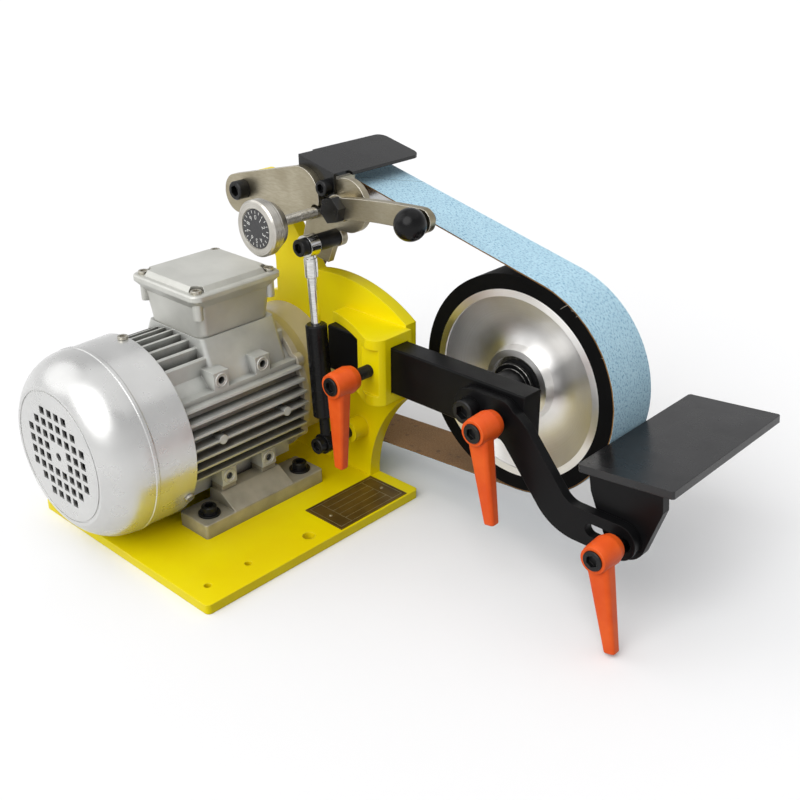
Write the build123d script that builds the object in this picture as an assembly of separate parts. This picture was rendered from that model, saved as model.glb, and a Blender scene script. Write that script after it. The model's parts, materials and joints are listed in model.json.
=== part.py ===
from build123d import *
import math
import os

# Bench belt sander: a foot-mounted motor on a yellow base and upright turns a drive wheel.
# The belt runs from it over a sprung tracking wheel and round a large contact wheel on a tool arm.
# X runs from the motor to the contact wheel, Y along the motor shaft away from the fan, Z up.
# The origin is the middle of the base plate's underside.

# Fits and gaps
assembly_gap = 0.1
running_gap = 0.05
moving_gap = 0.3
cap_head_ratio = 0.75
wide_head_ratio = 0.8

# Base plate
base_length = 226.0
base_width = 232.0
base_thickness = 8.0
base_corner_radius = 4.0
bench_hole_diameter = 10.5
bench_hole_inset = 15.5
accessory_hole_diameter = 6.0
accessory_hole_pitch = 40.0
accessory_hole_inset_x = 21.5
accessory_hole_inset_y = 17.0
nameplate_length = 44.0
nameplate_width = 79.0
nameplate_thickness = 0.8
nameplate_inset_x = 2.0

# Upright casting
upright_thickness = 12.0
upright_leg_inset = 47.0
upright_foot_inset = 6.0
motor_plate_radius = 70.0
pivot_lug_radius = 12.5
receiver_wall = 8.5
receiver_front_wall = 14.0
receiver_back_pad = 4.0
receiver_length = 76.0
receiver_front_length = 32.0
receiver_overhang = 3.0
receiver_web_recess = 3.0
strut_boss_radius = 10.0
strut_boss_height = 16.0
wing_start_reach = 40.0
wing_start_rise = 33.0
wing_middle_reach = 102.0
wing_middle_rise = 30.5
wing_end_inset = 6.0
wing_end_rise = 10.5
wing_end_drop = 6.0
leg_foot_height = 7.0
leg_arc_bulge = 11.0
horn_left_reach = 13.0
horn_right_reach = 24.0
horn_shoulder_rise = 20.0
receiver_tail_depth = 11.0
receiver_nose_length = 16.0
receiver_nose_depth = 8.0

# Motor, frame size 80 with feet and a small round flange
motor_x = -35.0
shaft_height = 80.0
shaft_diameter = 19.0
shaft_reach = 61.0
key_end_inset = 4.0
key_seat_depth = 3.5
key_proud = 2.5
flange_diameter = 120.0
flange_bolt_circle = 100.0
flange_screw_diameter = 6.0
spigot_diameter = 80.0
spigot_length = 3.0
flange_screw_grip = 10.0
shield_length = 44.0
shield_rim_inset = 5.0
shield_rim_length = 6.0
shield_cone_length = 20.0
shield_lug_radius = 6.5
shield_lug_length = 7.0
shield_lug_angle = 31.0
shield_bolt_diameter = 5.0
barrel_length = 124.0
stator_outer_radius = 55.0
stator_depth = 14.0
barrel_wall = 7.0
fin_height = 10.0
stator_bore_radius = stator_outer_radius - stator_depth
barrel_radius = stator_outer_radius + barrel_wall
fin_radius = barrel_radius + fin_height
fin_thickness = 2.2
fin_pitch = 10.3
fin_pad_radius = 4.0
fin_pad_pitch = 68.0
ledge_height = 5.5
stator_length = 70.0
air_gap = 0.5
winding_overhang = 18.0
winding_bore_room = 1.5
winding_rim_room = 2.5
foot_pitch_x = 125.0
foot_pitch_y = 100.0
foot_from_face = 50.0
foot_length = 129.0
foot_width = 36.0
foot_outer_trim = 3.5
foot_pad_inset = 2.5
foot_pad_setback = 1.5
foot_thickness = 13.0
foot_corner_radius = 2.5
foot_edge_radius = 1.0
foot_bolt_diameter = 8.0
foot_screw_diameter = 6.0
foot_screw_grip = 10.0
foot_screw_tip_room = 1.5
foot_web_overlap = 3.0
foot_web_drop = 4.5
boss_height = 44.0
boss_pitch = 43.0
boss_size = 15.0
boss_offset = 4.0
boss_stand = 1.5
boss_hole_depth = 14.0
lower_hole_depth = 3.5
terminal_offset = 17.5
terminal_shift = 3.0
motor_bearing_bore = 20.0
motor_bearing_outer = 47.0
motor_bearing_width = 14.0
cover_length = 73.8
cover_radius = 78.5
cover_wall = 2.0
rear_plate_inset = 6.5
cover_dome_length = 40.0
cover_bead_width = 5.5
cover_bead_height = 1.1
cover_ring_radius = 58.0
grille_radius = 55.5
grille_groove_width = 1.3
grille_groove_depth = 0.9
grille_pitch = 10.2
grille_hole = 6.9
grille_field_radius = 40.0
grille_centre_hole = 7.0
cover_screw_diameter = 5.0
cover_screw_grip = 9.0
fan_radius = 62.0
fan_length = 26.0
fan_blades = 8
fan_seat_step = 1.5
fan_hub_wall = 6.0
fan_shield_gap = 4.0
terminal_box_length = 72.0
terminal_box_width = 68.0
terminal_box_height = 35.0
terminal_box_wall = 3.5
terminal_corner_radius = 8.0
terminal_flare = 3.0
terminal_lip_reach = 6.5
terminal_lip_height = 8.0
terminal_lid_thickness = 5.0
terminal_lid_panel = 4.0
terminal_panel_inset = 5.0
terminal_panel_taper = 40.0
lid_screw_diameter = 4.0
lid_screw_grip = 8.0
lid_screw_inset = 8.5
saddle_height = 1.0
saddle_margin = 1.5
saddle_near_reach = 1.0
saddle_far_reach = 4.0
saddle_corner_radius = 4.0
saddle_foot_half = 52.0
cable_entry_radius = 12.0
cable_entry_height = 4.0

# Belt and wheels
belt_width = 50.0
belt_thickness = 1.2
belt_offset = 9.0
drive_wheel_radius = 60.0
drive_hub_radius = 24.0
drive_rim_wall = 9.0
drive_web = 14.0
drive_hub_overhang = 2.0
end_bolt_diameter = 6.0
end_bolt_length = 18.0
end_washer_thickness = 2.5
tracking_wheel_radius = 20.0
tracking_wheel_x = 22.0
tracking_wheel_z = 249.5
contact_wheel_radius = 90.0
contact_wheel_x = 206.0
tyre_thickness = 12.0
contact_rim_wall = 6.0
contact_rim_step = 1.5
contact_dish_depth = 12.0
contact_boss_radius = 29.0
contact_boss_inset = 2.0
contact_boss_flare = 2.5
contact_boss_root = 9.0
bowl_deep_share = 0.25
bowl_rise_share = 0.65
bowl_rise_depth = 0.68
contact_bearing_bore = 17.0
contact_bearing_outer = 47.0
contact_bearing_width = 14.0
axle_collar_radius = 14.8
axle_flange_radius = 19.0
axle_flange_thickness = 2.5
axle_shoulder = 3.0
rest_sleeve_radius = 7.5
tracking_bearing_bore = 10.0
tracking_bearing_outer = 26.0
tracking_bearing_width = 8.0
tracking_spacer_wall = 2.5
tracking_axle_head = 5.0
bearing_inset = 5.0

# Tool arm, work rest and its table
bar_height = 40.0
bar_thickness = 20.0
bar_length = 206.0
bar_beyond_wheel = 43.0
bar_z = 135.0
axle_screw_diameter = 10.0
rest_arm_thickness = 8.0
rest_arm_width = 28.0
rest_pad_radius = 16.0
rest_arm_drop = 59.0
rest_arm_bend_radius = 30.0
crank_start = 8.0
crank_run = 50.0
rest_clamp_distance = 27.0
rest_swing_up = 12.0
rest_swing_down = 0.0
table_length = 155.0
table_width = 77.0
table_thickness = 6.0
table_corner_chamfer = 1.5
table_height = 41.0
table_slope = 5.7
table_gap = 2.0
table_slot_inward = 22.0
table_slot_outward = 5.0
bracket_thickness = 8.0
bracket_lug_radius = 17.0

# Clamp levers
stud_diameter = 10.0
lever_hub_length = 24.0
lever_hub_radius = 11.5
lever_reach = 75.5
lever_hub_gap = 6.5
lever_root_width = 18.5
lever_tip_width = 9.5
lever_root_depth = 13.0
lever_tip_depth = 8.5
lever_arm_setback = 2.0
lever_hub_taper = 1.5
lever_head_sink = 5.0
lever_head_height = 6.5
lever_end_radius = 1.5
arm_clamp_gap = 18.5
arm_clamp_inset = 14.0
arm_clamp_lean = 0.0
rest_clamp_lean = 10.5
table_clamp_lean = 12.5

# Tension arm, guard and lever
arm_pivot_x = -59.0
arm_pivot_z = 252.0
arm_pivot_diameter = 12.0
arm_standoff = 21.0
arm_plate_thickness = 6.0
arm_left_radius = 17.0
arm_right_radius = 22.5
arm_left_reach = 9.5
arm_left_drop = 6.0
arm_right_inset = 18.5
arm_right_rise = 11.5
arm_boss_inset = 1.5
guard_thickness = 2.5
guard_slope = 12.8
guard_reach = 98.0
guard_neck_length = 17.0
guard_neck_width = 41.0
guard_left_ear = 1.5
guard_right_ear = 4.0
guard_above_wheel = 35.2
guard_corner_radius = 8.0
guard_screw_setback = 19.0
guard_screw_rise = 12.5
link_plate_thickness = 6.0
link_disc_radius = 22.0
lever_bolt_x = 58.0
lever_bolt_z = 257.5
lever_bolt_diameter = 12.0
lever_bolt_across_flats = 19.0
release_lever_thickness = 6.0
release_lever_standoff = 5.5
release_lever_length = 89.5
release_lever_rise = 8.2
release_lever_bow = 2.0
release_lever_root = 18.0
release_lever_middle = 17.0
release_lever_tip_radius = 9.5
ball_radius = 12.5
ball_seat_depth = 11.3
ball_bolt_diameter = 8.0
ball_bolt_head_radius = 6.5
ball_bolt_head_height = 4.0
ball_bolt_reach = 12.0

# Tracking adjustment
tracking_screw_x = 30.0
tracking_screw_z = 249.0
tracking_screw_diameter = 8.0
knob_radius = 22.5
knob_length = 18.0
knob_grip_length = 8.0
knob_step = 1.5
knob_back_taper = 7.0
knob_back_inset = 5.0
dial_ratio = 0.72
knob_reach = 63.0
screw_tip_gap = 0.9
locknut_length = 5.0
locknut_radius = 9.0
hinge_pin_diameter = 6.0
hinge_z = 268.0
tracker_width = 30.0
tracker_thickness = 14.0
tracker_gap = 2.5
tracker_drop = 14.0
tracker_rise = 8.0
hinge_ear_width = 6.5

# Gas strut
strut_to_bar = 18.0
strut_lower_x = 55.0
strut_lower_z = 55.0
strut_upper_x = 44.0
strut_upper_z = 229.0
strut_pin_diameter = 8.0
strut_rod_diameter = 8.0
strut_tube_diameter = 18.0
strut_tube_start = 25.0
strut_tube_length = 83.0
strut_eye_radius = 9.0
strut_eye_thickness = 10.0
strut_eye_play = 0.7
strut_sleeve_length = 26.0
strut_stroke = 24.0

# Places that follow from the sizes above
upright_far = base_width / 2
upright_near = upright_far - upright_thickness
arm_plate_near = upright_near - arm_standoff
motor_z = base_thickness + shaft_height
barrel_far = upright_near - shield_length
barrel_near = barrel_far - barrel_length
belt_near = upright_far + belt_offset
belt_far = belt_near + belt_width
bar_far = upright_near - receiver_back_pad
bar_near = bar_far - bar_thickness
strut_y = bar_near - strut_to_bar
bar_front = contact_wheel_x + bar_beyond_wheel
bar_rear = bar_front - bar_length
bar_top = bar_z + bar_height / 2
bar_bottom = bar_z - bar_height / 2
contact_wheel_z = bar_z
receiver_exit = base_length / 2 + receiver_overhang
rest_arm_far = bar_near - moving_gap
rest_arm_near = rest_arm_far - rest_arm_thickness
arm_plate_far = arm_plate_near + arm_plate_thickness
guard_far = arm_plate_far + guard_thickness
link_plate_far = guard_far + link_plate_thickness
tracker_near = link_plate_far + tracker_gap
tracker_far = tracker_near + tracker_thickness
belt_outer_radius = contact_wheel_radius + moving_gap + belt_thickness


def slab(outline, near, far):
    """A plate: an outline in X and Z, thick from near to far along Y."""
    plane = Plane(origin=(0, far, 0), x_dir=(1, 0, 0), z_dir=(0, -1, 0))
    return extrude(plane * outline, amount=far - near, dir=(0, -1, 0))


def at(x, z, shape):
    """Moves a flat outline to a place in the X-Z plane."""
    return Pos(x, z) * shape


def turned(points, x, z):
    """A turned piece about a Y axis, from radius and Y pairs."""
    return Pos(x, 0, z) * revolve(Polygon(*points, align=None), Axis.Y)


def round_y(x, z, radius, near, far):
    return Pos(x, (near + far) / 2, z) * Rot(90, 0, 0) * Cylinder(radius, far - near)


def round_x(y, z, radius, low, high):
    return Pos((low + high) / 2, y, z) * Rot(0, 90, 0) * Cylinder(radius, high - low)


def round_z(x, y, radius, low, high):
    return Pos(x, y, (low + high) / 2) * Cylinder(radius, high - low)


def block(x0, x1, y0, y1, z0, z1):
    return Pos((x0 + x1) / 2, (y0 + y1) / 2, (z0 + z1) / 2) * Box(x1 - x0, y1 - y0, z1 - z0)


def hull_of(*shapes):
    """The tight outline round several flat shapes."""
    edges = [edge for shape in shapes for edge in shape.edges()]
    return make_hull(edges)


def socket_screw(thread, length, head_radius, head_height):
    """A hexagon socket screw: the head stands on Z = 0 and the shank points down."""
    head = Cylinder(head_radius, head_height, align=(Align.CENTER, Align.CENTER, Align.MIN))
    head = chamfer(head.edges().group_by(Axis.Z)[-1], head_height / 12)
    socket = extrude(RegularPolygon(head_radius * 0.55, 6, major_radius=False), amount=head_height * 0.55)
    socket = Pos(0, 0, head_height * 0.45) * socket
    shank = Cylinder(thread / 2, length, align=(Align.CENTER, Align.CENTER, Align.MAX))
    return head + shank - socket


def placed(piece, x, y, z, direction):
    """Turns a piece made along Z to point along a direction, at a place."""
    return Plane(origin=(x, y, z), z_dir=direction) * piece


def bearing(bore, outer, width, x, z, near):
    """A shielded ball bearing: two rings with sunk shields between them."""
    inner = bore / 2 + running_gap
    rim = outer / 2
    ring_wall = (rim - inner) * 0.22
    sunk = width * 0.06
    far = near + width
    profile = [
        (inner, near),
        (inner + ring_wall, near),
        (inner + ring_wall, near + sunk),
        (rim - ring_wall, near + sunk),
        (rim - ring_wall, near),
        (rim, near),
        (rim, far),
        (rim - ring_wall, far),
        (rim - ring_wall, far - sunk),
        (inner + ring_wall, far - sunk),
        (inner + ring_wall, far),
        (inner, far),
    ]
    return turned(profile, x, z)


nodes = {}

# Base plate: flat steel with bench holes, spare holes and tapped holes for the motor's feet
bench_hole_x = base_length / 2 - bench_hole_inset
accessory_x = base_length / 2 - accessory_hole_inset_x
accessory_y = accessory_hole_inset_y - base_width / 2
foot_bolt_y = [upright_near - foot_from_face, upright_near - foot_from_face - foot_pitch_y]
foot_bolt_x = [motor_x - foot_pitch_x / 2, motor_x + foot_pitch_x / 2]
foot_bolt_places = [(x, y) for x in foot_bolt_x for y in foot_bolt_y]
base = block(-base_length / 2, base_length / 2, -base_width / 2, base_width / 2, 0, base_thickness)
base = fillet(base.edges().filter_by(Axis.Z), base_corner_radius)
base_holes = [round_z(bench_hole_x, 0, bench_hole_diameter / 2, -1, base_thickness + 1)]
base_holes += [
    round_z(accessory_x, accessory_y + step * accessory_hole_pitch, accessory_hole_diameter / 2, -1,
            base_thickness + 1)
    for step in (0, 1)
]
base_holes += [
    round_z(x, y, foot_bolt_diameter / 2 + assembly_gap, -1, base_thickness + 1)
    for x, y in foot_bolt_places
]
nodes["base_plate"] = base - base_holes

# Nameplate: thin bare metal sheet on the base beside the upright
nameplate_x = base_length / 2 - nameplate_inset_x - nameplate_length
nameplate_y = upright_near - nameplate_width - 1
nodes["nameplate"] = block(nameplate_x, nameplate_x + nameplate_length, nameplate_y,
                           nameplate_y + nameplate_width, base_thickness,
                           base_thickness + nameplate_thickness)

# Upright casting: plate with the motor seat, the pivot horn, the leg and the tool arm's receiver
leg_right = base_length / 2 - upright_leg_inset
leg_foot_z = base_thickness + leg_foot_height
wing_left_x = motor_x + wing_start_reach
wing_left_z = bar_top + wing_start_rise
wing_mid_x = motor_x + wing_middle_reach
wing_mid_z = bar_top + wing_middle_rise
wing_end = receiver_exit - wing_end_inset
wing_right_z = bar_top + wing_end_rise
receiver_bottom = bar_bottom - moving_gap - receiver_wall
receiver_top = bar_top + moving_gap + receiver_wall
wing_end_low = receiver_bottom - wing_end_drop
leg_middle_z = (base_thickness + receiver_bottom) / 2
wing = make_face([
    Line((motor_x, base_thickness), (leg_right, base_thickness)),
    Line((leg_right, base_thickness), (leg_right, leg_foot_z)),
    ThreePointArc((leg_right, leg_foot_z), (leg_right + leg_arc_bulge, leg_middle_z),
                  (wing_end, wing_end_low)),
    Line((wing_end, wing_end_low), (wing_end, wing_right_z)),
    ThreePointArc((wing_end, wing_right_z), (wing_mid_x, wing_mid_z), (wing_left_x, wing_left_z)),
    Line((wing_left_x, wing_left_z), (motor_x, base_thickness)),
])
foot_left = upright_foot_inset - base_length / 2
foot_outline = Polygon((foot_left, base_thickness), (leg_right, base_thickness), (leg_right, motor_z),
                       (foot_left, motor_z - 20), align=None)
seat_outline = at(motor_x, motor_z, Circle(motor_plate_radius))
horn_left = motor_x - horn_left_reach
horn_right = motor_x + horn_right_reach
horn_low = motor_z + motor_plate_radius - horn_shoulder_rise
horn_shoulder_z = wing_left_z + horn_shoulder_rise
horn_foot = Polygon((horn_left, horn_low), (wing_left_x, horn_low), (wing_left_x, wing_left_z),
                    (horn_right, horn_shoulder_z), (horn_left, wing_left_z), align=None)
lug_outline = at(arm_pivot_x, arm_pivot_z, Circle(pivot_lug_radius))
horn_neck = Polygon((horn_left, wing_left_z), (horn_right, wing_left_z), (horn_right, horn_shoulder_z),
                    align=None)
horn_outline = hull_of(lug_outline, horn_neck)
upright_outline = wing + foot_outline + seat_outline + horn_foot + horn_outline
upright = slab(upright_outline, upright_near, upright_far)

receiver_front = bar_near - moving_gap - receiver_front_wall
receiver_left = receiver_exit - receiver_length
wall_left = receiver_exit - receiver_front_length
nose_x = receiver_exit - receiver_nose_length
tail_y = bar_far - receiver_tail_depth
nose_y = receiver_front + receiver_nose_depth
flange_front = Spline((receiver_left, tail_y), (wall_left - receiver_nose_length, bar_near + 1),
                      (wall_left, (bar_near + receiver_front) / 2 + 1), (nose_x, receiver_front))
flange_outline = make_face([
    Line((receiver_left, upright_near), (receiver_left, tail_y)),
    flange_front,
    ThreePointArc((nose_x, receiver_front), (receiver_exit - receiver_nose_length / 4,
                                             receiver_front + receiver_nose_depth / 4),
                  (receiver_exit, nose_y)),
    Line((receiver_exit, nose_y), (receiver_exit, upright_near)),
    Line((receiver_exit, upright_near), (receiver_left, upright_near)),
])
top_flange = Pos(0, 0, bar_top + moving_gap) * extrude(flange_outline, amount=receiver_wall, dir=(0, 0, 1))
bottom_flange = Pos(0, 0, receiver_bottom) * extrude(flange_outline, amount=receiver_wall, dir=(0, 0, 1))
front_wall = extrude(flange_outline, amount=receiver_top - receiver_bottom, dir=(0, 0, 1))
front_wall = Pos(0, 0, receiver_bottom) * front_wall
front_wall = front_wall & block(wall_left, receiver_exit, receiver_front + receiver_web_recess,
                                bar_near - moving_gap, receiver_bottom, receiver_top)
back_pad = block(receiver_left, receiver_exit, bar_far + moving_gap, upright_near,
                 receiver_bottom, receiver_top)
pin_boss = round_y(strut_lower_x, strut_lower_z, strut_boss_radius, upright_near - strut_boss_height,
                   upright_near)
upright = upright + [top_flange, bottom_flange, front_wall, back_pad, pin_boss]
flange_hole_angles = [45, 135, 225, 315]
flange_hole_places = [
    (motor_x + flange_bolt_circle / 2 * math.cos(math.radians(angle)),
     motor_z + flange_bolt_circle / 2 * math.sin(math.radians(angle)))
    for angle in flange_hole_angles
]
arm_clamp_x = receiver_exit - arm_clamp_inset
upright_cuts = [
    round_y(motor_x, motor_z, spigot_diameter / 2 + assembly_gap, upright_near - 1, upright_far + 1),
    round_y(arm_pivot_x, arm_pivot_z, arm_pivot_diameter / 2 + assembly_gap, upright_near - 1,
            upright_far + 1),
    round_y(strut_lower_x, strut_lower_z, strut_pin_diameter / 2 + assembly_gap,
            upright_near - strut_boss_height - 1, upright_far + 1),
    round_y(arm_clamp_x, bar_z, stud_diameter / 2 + running_gap, receiver_front - 1, bar_near),
]
upright_cuts += [
    round_y(x, z, flange_screw_diameter / 2 + assembly_gap, upright_near - 1, upright_far + 1)
    for x, z in flange_hole_places
]
nodes["upright_frame"] = upright - upright_cuts

# Flange screws: from the far side of the upright into the motor's flange
flange_screw = socket_screw(flange_screw_diameter, upright_thickness + flange_screw_grip,
                            flange_screw_diameter * cap_head_ratio,
                            flange_screw_diameter)
nodes["flange_screws"] = [placed(flange_screw, x, upright_far, z, (0, 1, 0)) for x, z in flange_hole_places]

# Motor barrel: aluminium casting with level fins at the sides and upright fins above and below,
# a ledge under the upper bosses, round ejector pads on the middle fin and a saddle for the terminal box
barrel_middle = (barrel_near + barrel_far) / 2
boss_reach = math.sqrt(fin_radius ** 2 - boss_height ** 2) + boss_stand
saddle_top = motor_z + fin_radius + saddle_height
boss_low = boss_height - boss_size / 2
side_fin_count = int(boss_low // fin_pitch)
top_fin_count = int(fin_radius * 0.62 // fin_pitch)
fins = [
    block(motor_x - fin_radius, motor_x + fin_radius, barrel_near, barrel_far,
          motor_z + step * fin_pitch - fin_thickness / 2, motor_z + step * fin_pitch + fin_thickness / 2)
    for step in range(-side_fin_count, side_fin_count + 1)
]
fins += [
    block(motor_x + step * fin_pitch - fin_thickness / 2, motor_x + step * fin_pitch + fin_thickness / 2,
          barrel_near, barrel_far, motor_z - fin_radius, motor_z + fin_radius)
    for step in range(-top_fin_count, top_fin_count + 1)
]
barrel = round_y(motor_x, motor_z, barrel_radius, barrel_near, barrel_far) + fins
barrel = barrel & round_y(motor_x, motor_z, fin_radius, barrel_near, barrel_far)
terminal_x = motor_x + terminal_shift
terminal_y = barrel_middle + terminal_offset
boss_middle = barrel_middle + boss_offset
boss_y = [boss_middle - boss_pitch / 2, boss_middle + boss_pitch / 2]
bosses = [
    block(motor_x - boss_reach, motor_x + boss_reach, y - boss_size / 2, y + boss_size / 2,
          motor_z + side * boss_height - boss_size / 2, motor_z + side * boss_height + boss_size / 2)
    for y in boss_y for side in (-1, 1)
]
ledge = block(motor_x - boss_reach, motor_x + boss_reach, barrel_near, barrel_far,
              motor_z + boss_low - ledge_height, motor_z + boss_low)
fin_pads = [
    round_x(boss_middle + end * fin_pad_pitch / 2, motor_z, fin_pad_radius, motor_x - fin_radius,
            motor_x + fin_radius)
    for end in (-1, 1)
]
saddle_half = terminal_box_width / 2 + saddle_margin
saddle_floor = motor_z + boss_low
saddle_outline = Polygon((motor_x - saddle_foot_half, saddle_floor),
                         (motor_x + saddle_foot_half, saddle_floor),
                         (terminal_x + saddle_half, saddle_top), (terminal_x - saddle_half, saddle_top),
                         align=None)
saddle = slab(saddle_outline, terminal_y - terminal_box_length / 2 - saddle_near_reach,
              terminal_y + terminal_box_length / 2 + saddle_far_reach)
saddle_corners = [edge for edge in saddle.edges() if abs((edge @ 1 - edge @ 0).Z) > saddle_height]
saddle = fillet(saddle_corners, saddle_corner_radius)
barrel = barrel + bosses + ledge + fin_pads + saddle
barrel_bore = stator_outer_radius + assembly_gap
barrel_cuts = [round_y(motor_x, motor_z, barrel_bore, barrel_near - 1, barrel_far + 1)]
foot_outer = foot_pitch_x / 2 + foot_width / 2 - foot_outer_trim
foot_inner = foot_outer - foot_width
pad_inner = foot_inner + foot_pad_inset
pad_outer = boss_reach - foot_pad_setback
foot_screw_x = (pad_inner + pad_outer) / 2
foot_screw_hole = foot_screw_diameter / 2 + assembly_gap
boss_floor = motor_z - boss_height - boss_size / 2
for y in boss_y:
    for height, depth in ((boss_height, boss_hole_depth), (-boss_height, lower_hole_depth)):
        for side in (-1, 1):
            outer = motor_x + side * (boss_reach + 1)
            inner = motor_x + side * (boss_reach - depth)
            ends = sorted((outer, inner))
            barrel_cuts.append(round_x(y, motor_z + height, foot_screw_hole, *ends))
    for side in (-1, 1):
        barrel_cuts.append(round_z(motor_x + side * foot_screw_x, y, foot_screw_hole, boss_floor - 1,
                                   boss_floor + foot_screw_grip + foot_screw_tip_room))
nodes["motor_frame"] = barrel - barrel_cuts

# Feet: each has a pad under every lower boss, screwed up into it from below, and is bolted to the base
foot_top = base_thickness + foot_thickness
foot_middle = (foot_bolt_y[0] + foot_bolt_y[1]) / 2
web_half = boss_pitch / 2 + boss_size / 2 + foot_web_overlap
web_top = boss_floor - foot_web_drop
foot_screw_head = foot_screw_diameter * cap_head_ratio
foot_screw_seat = base_thickness + foot_screw_diameter + 1
foot_profile = Polygon((foot_outer, foot_top), (boss_reach, web_top), (pad_inner, web_top),
                       (pad_inner, foot_top), align=None)


def motor_foot(side):
    plate = block(foot_inner, foot_outer, foot_middle - foot_length / 2, foot_middle + foot_length / 2,
                  base_thickness, foot_top)
    plate = fillet(plate.edges().filter_by(Axis.Z), foot_corner_radius)
    plate = fillet(plate.edges().group_by(Axis.Z)[-1], foot_edge_radius)
    web = slab(foot_profile, boss_middle - web_half, boss_middle + web_half)
    web = web - round_y(0, motor_z, fin_radius + assembly_gap, barrel_near - 1, upright_near)
    pads = [block(pad_inner, pad_outer, y - boss_size / 2, y + boss_size / 2, foot_top - 1, boss_floor)
            for y in boss_y]
    bolt_hole = foot_bolt_diameter / 2 + assembly_gap
    cuts = [round_z(foot_pitch_x / 2, y, bolt_hole, base_thickness - 1, motor_z) for y in foot_bolt_y]
    cuts += [round_z(foot_screw_x, y, foot_screw_hole, base_thickness - 1, boss_floor + 1) for y in boss_y]
    cuts += [round_z(foot_screw_x, y, foot_screw_head + assembly_gap, base_thickness - 1, foot_screw_seat)
             for y in boss_y]
    foot = plate + web + pads - cuts
    if side < 0:
        foot = mirror(foot, about=Plane.YZ)
    return Pos(motor_x, 0, 0) * foot


nodes["motor_feet"] = [motor_foot(side) for side in (-1, 1)]
foot_screw = socket_screw(foot_screw_diameter, boss_floor + foot_screw_grip - foot_screw_seat,
                          foot_screw_head, foot_screw_diameter)
nodes["foot_screws"] = [
    placed(foot_screw, motor_x + side * foot_screw_x, y, foot_screw_seat, (0, 0, -1))
    for side in (-1, 1) for y in boss_y
]

# Foot bolts: socket screws with a wide washer face, through the feet into the base
washer_radius = foot_bolt_diameter * 1.15
washer_height = 1.6
foot_bolt = socket_screw(foot_bolt_diameter, foot_thickness + base_thickness - 1,
                         foot_bolt_diameter * wide_head_ratio, foot_bolt_diameter)
foot_washer = Cylinder(washer_radius, washer_height, align=(Align.CENTER, Align.CENTER, Align.MIN))
foot_bolt = foot_bolt + foot_washer
nodes["foot_bolts"] = [placed(foot_bolt, x, y, foot_top, (0, 0, 1)) for x, y in foot_bolt_places]

# Drive end shield: carries the front bearing, with a flange and spigot against the upright
bearing_seat = motor_bearing_outer / 2 + assembly_gap
drive_bearing_far = upright_near - 6
drive_bearing_near = drive_bearing_far - motor_bearing_width
shaft_hole = shaft_diameter / 2 + 1
shield_wall = 6.0
shield_rim = fin_radius - shield_rim_inset
shield_cone_far = barrel_far + shield_cone_length
drive_shield = turned([
    (shield_rim, barrel_far),
    (shield_rim, barrel_far + shield_rim_length),
    (flange_diameter / 2, shield_cone_far),
    (flange_diameter / 2, upright_near),
    (spigot_diameter / 2, upright_near),
    (spigot_diameter / 2, upright_near + spigot_length),
    (shaft_hole, upright_near + spigot_length),
    (shaft_hole, drive_bearing_far),
    (bearing_seat, drive_bearing_far),
    (bearing_seat, drive_bearing_near - 1),
    (flange_diameter / 2 - 3 * shield_wall, drive_bearing_near - 1),
    (flange_diameter / 2 - shield_wall, shield_cone_far - shield_wall),
    (stator_outer_radius, barrel_far),
], motor_x, motor_z)
shield_holes = [round_y(x, z, flange_screw_diameter / 2 + assembly_gap, upright_near - 12, upright_near + 1)
                for x, z in flange_hole_places]
shield_bolt_angles = [shield_lug_angle, 180 - shield_lug_angle, 180 + shield_lug_angle, -shield_lug_angle]
shield_bolt_circle = shield_rim - shield_lug_radius / 2
shield_bolt_places = [
    (motor_x + shield_bolt_circle * math.cos(math.radians(angle)),
     motor_z + shield_bolt_circle * math.sin(math.radians(angle)))
    for angle in shield_bolt_angles
]
shield_lugs = [round_y(x, z, shield_lug_radius, barrel_far, barrel_far + shield_lug_length)
               for x, z in shield_bolt_places]
shield_holes += [round_y(x, z, shield_bolt_diameter / 2, barrel_far - 1, barrel_far + shield_lug_length + 1)
                 for x, z in shield_bolt_places]
nodes["drive_end_shield"] = drive_shield + shield_lugs - shield_holes

# Fan end shield: a disc with the rear bearing seat and three lugs that carry the fan cover
rear_plate = 8.0
rear_bearing_near = barrel_near - rear_plate + 2
rear_bearing_far = rear_bearing_near + motor_bearing_width
cover_inner = cover_radius - cover_wall
rear_plate_radius = cover_inner - rear_plate_inset
fan_shield = turned([
    (shaft_hole, barrel_near - rear_plate),
    (rear_plate_radius, barrel_near - rear_plate),
    (rear_plate_radius, barrel_near),
    (bearing_seat + 7, barrel_near),
    (bearing_seat + 7, rear_bearing_far),
    (bearing_seat, rear_bearing_far),
    (bearing_seat, rear_bearing_near),
    (shaft_hole, rear_bearing_near),
], motor_x, motor_z)
cover_screw_angles = [90, 210, 330]
lug_width = 16.0
lug_reach = cover_inner - assembly_gap - 0.6
lugs = [
    Pos(motor_x, 0, motor_z) * Rot(0, -angle, 0)
    * block(bearing_seat, lug_reach, barrel_near - rear_plate, barrel_near, -lug_width / 2, lug_width / 2)
    for angle in cover_screw_angles
]
cover_screw_y = barrel_near - rear_plate / 2
lug_holes = [
    Pos(motor_x, 0, motor_z) * Rot(0, -angle, 0)
    * round_x(cover_screw_y, 0, cover_screw_diameter / 2 + assembly_gap, lug_reach - 12, lug_reach + 1)
    for angle in cover_screw_angles
]
nodes["fan_end_shield"] = fan_shield + lugs - lug_holes

# Fan cover: pressed sheet dome with a pressed ring round its grille of square holes
cover_front = barrel_near - cover_length
cover_dome_start = cover_front + cover_dome_length


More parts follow.
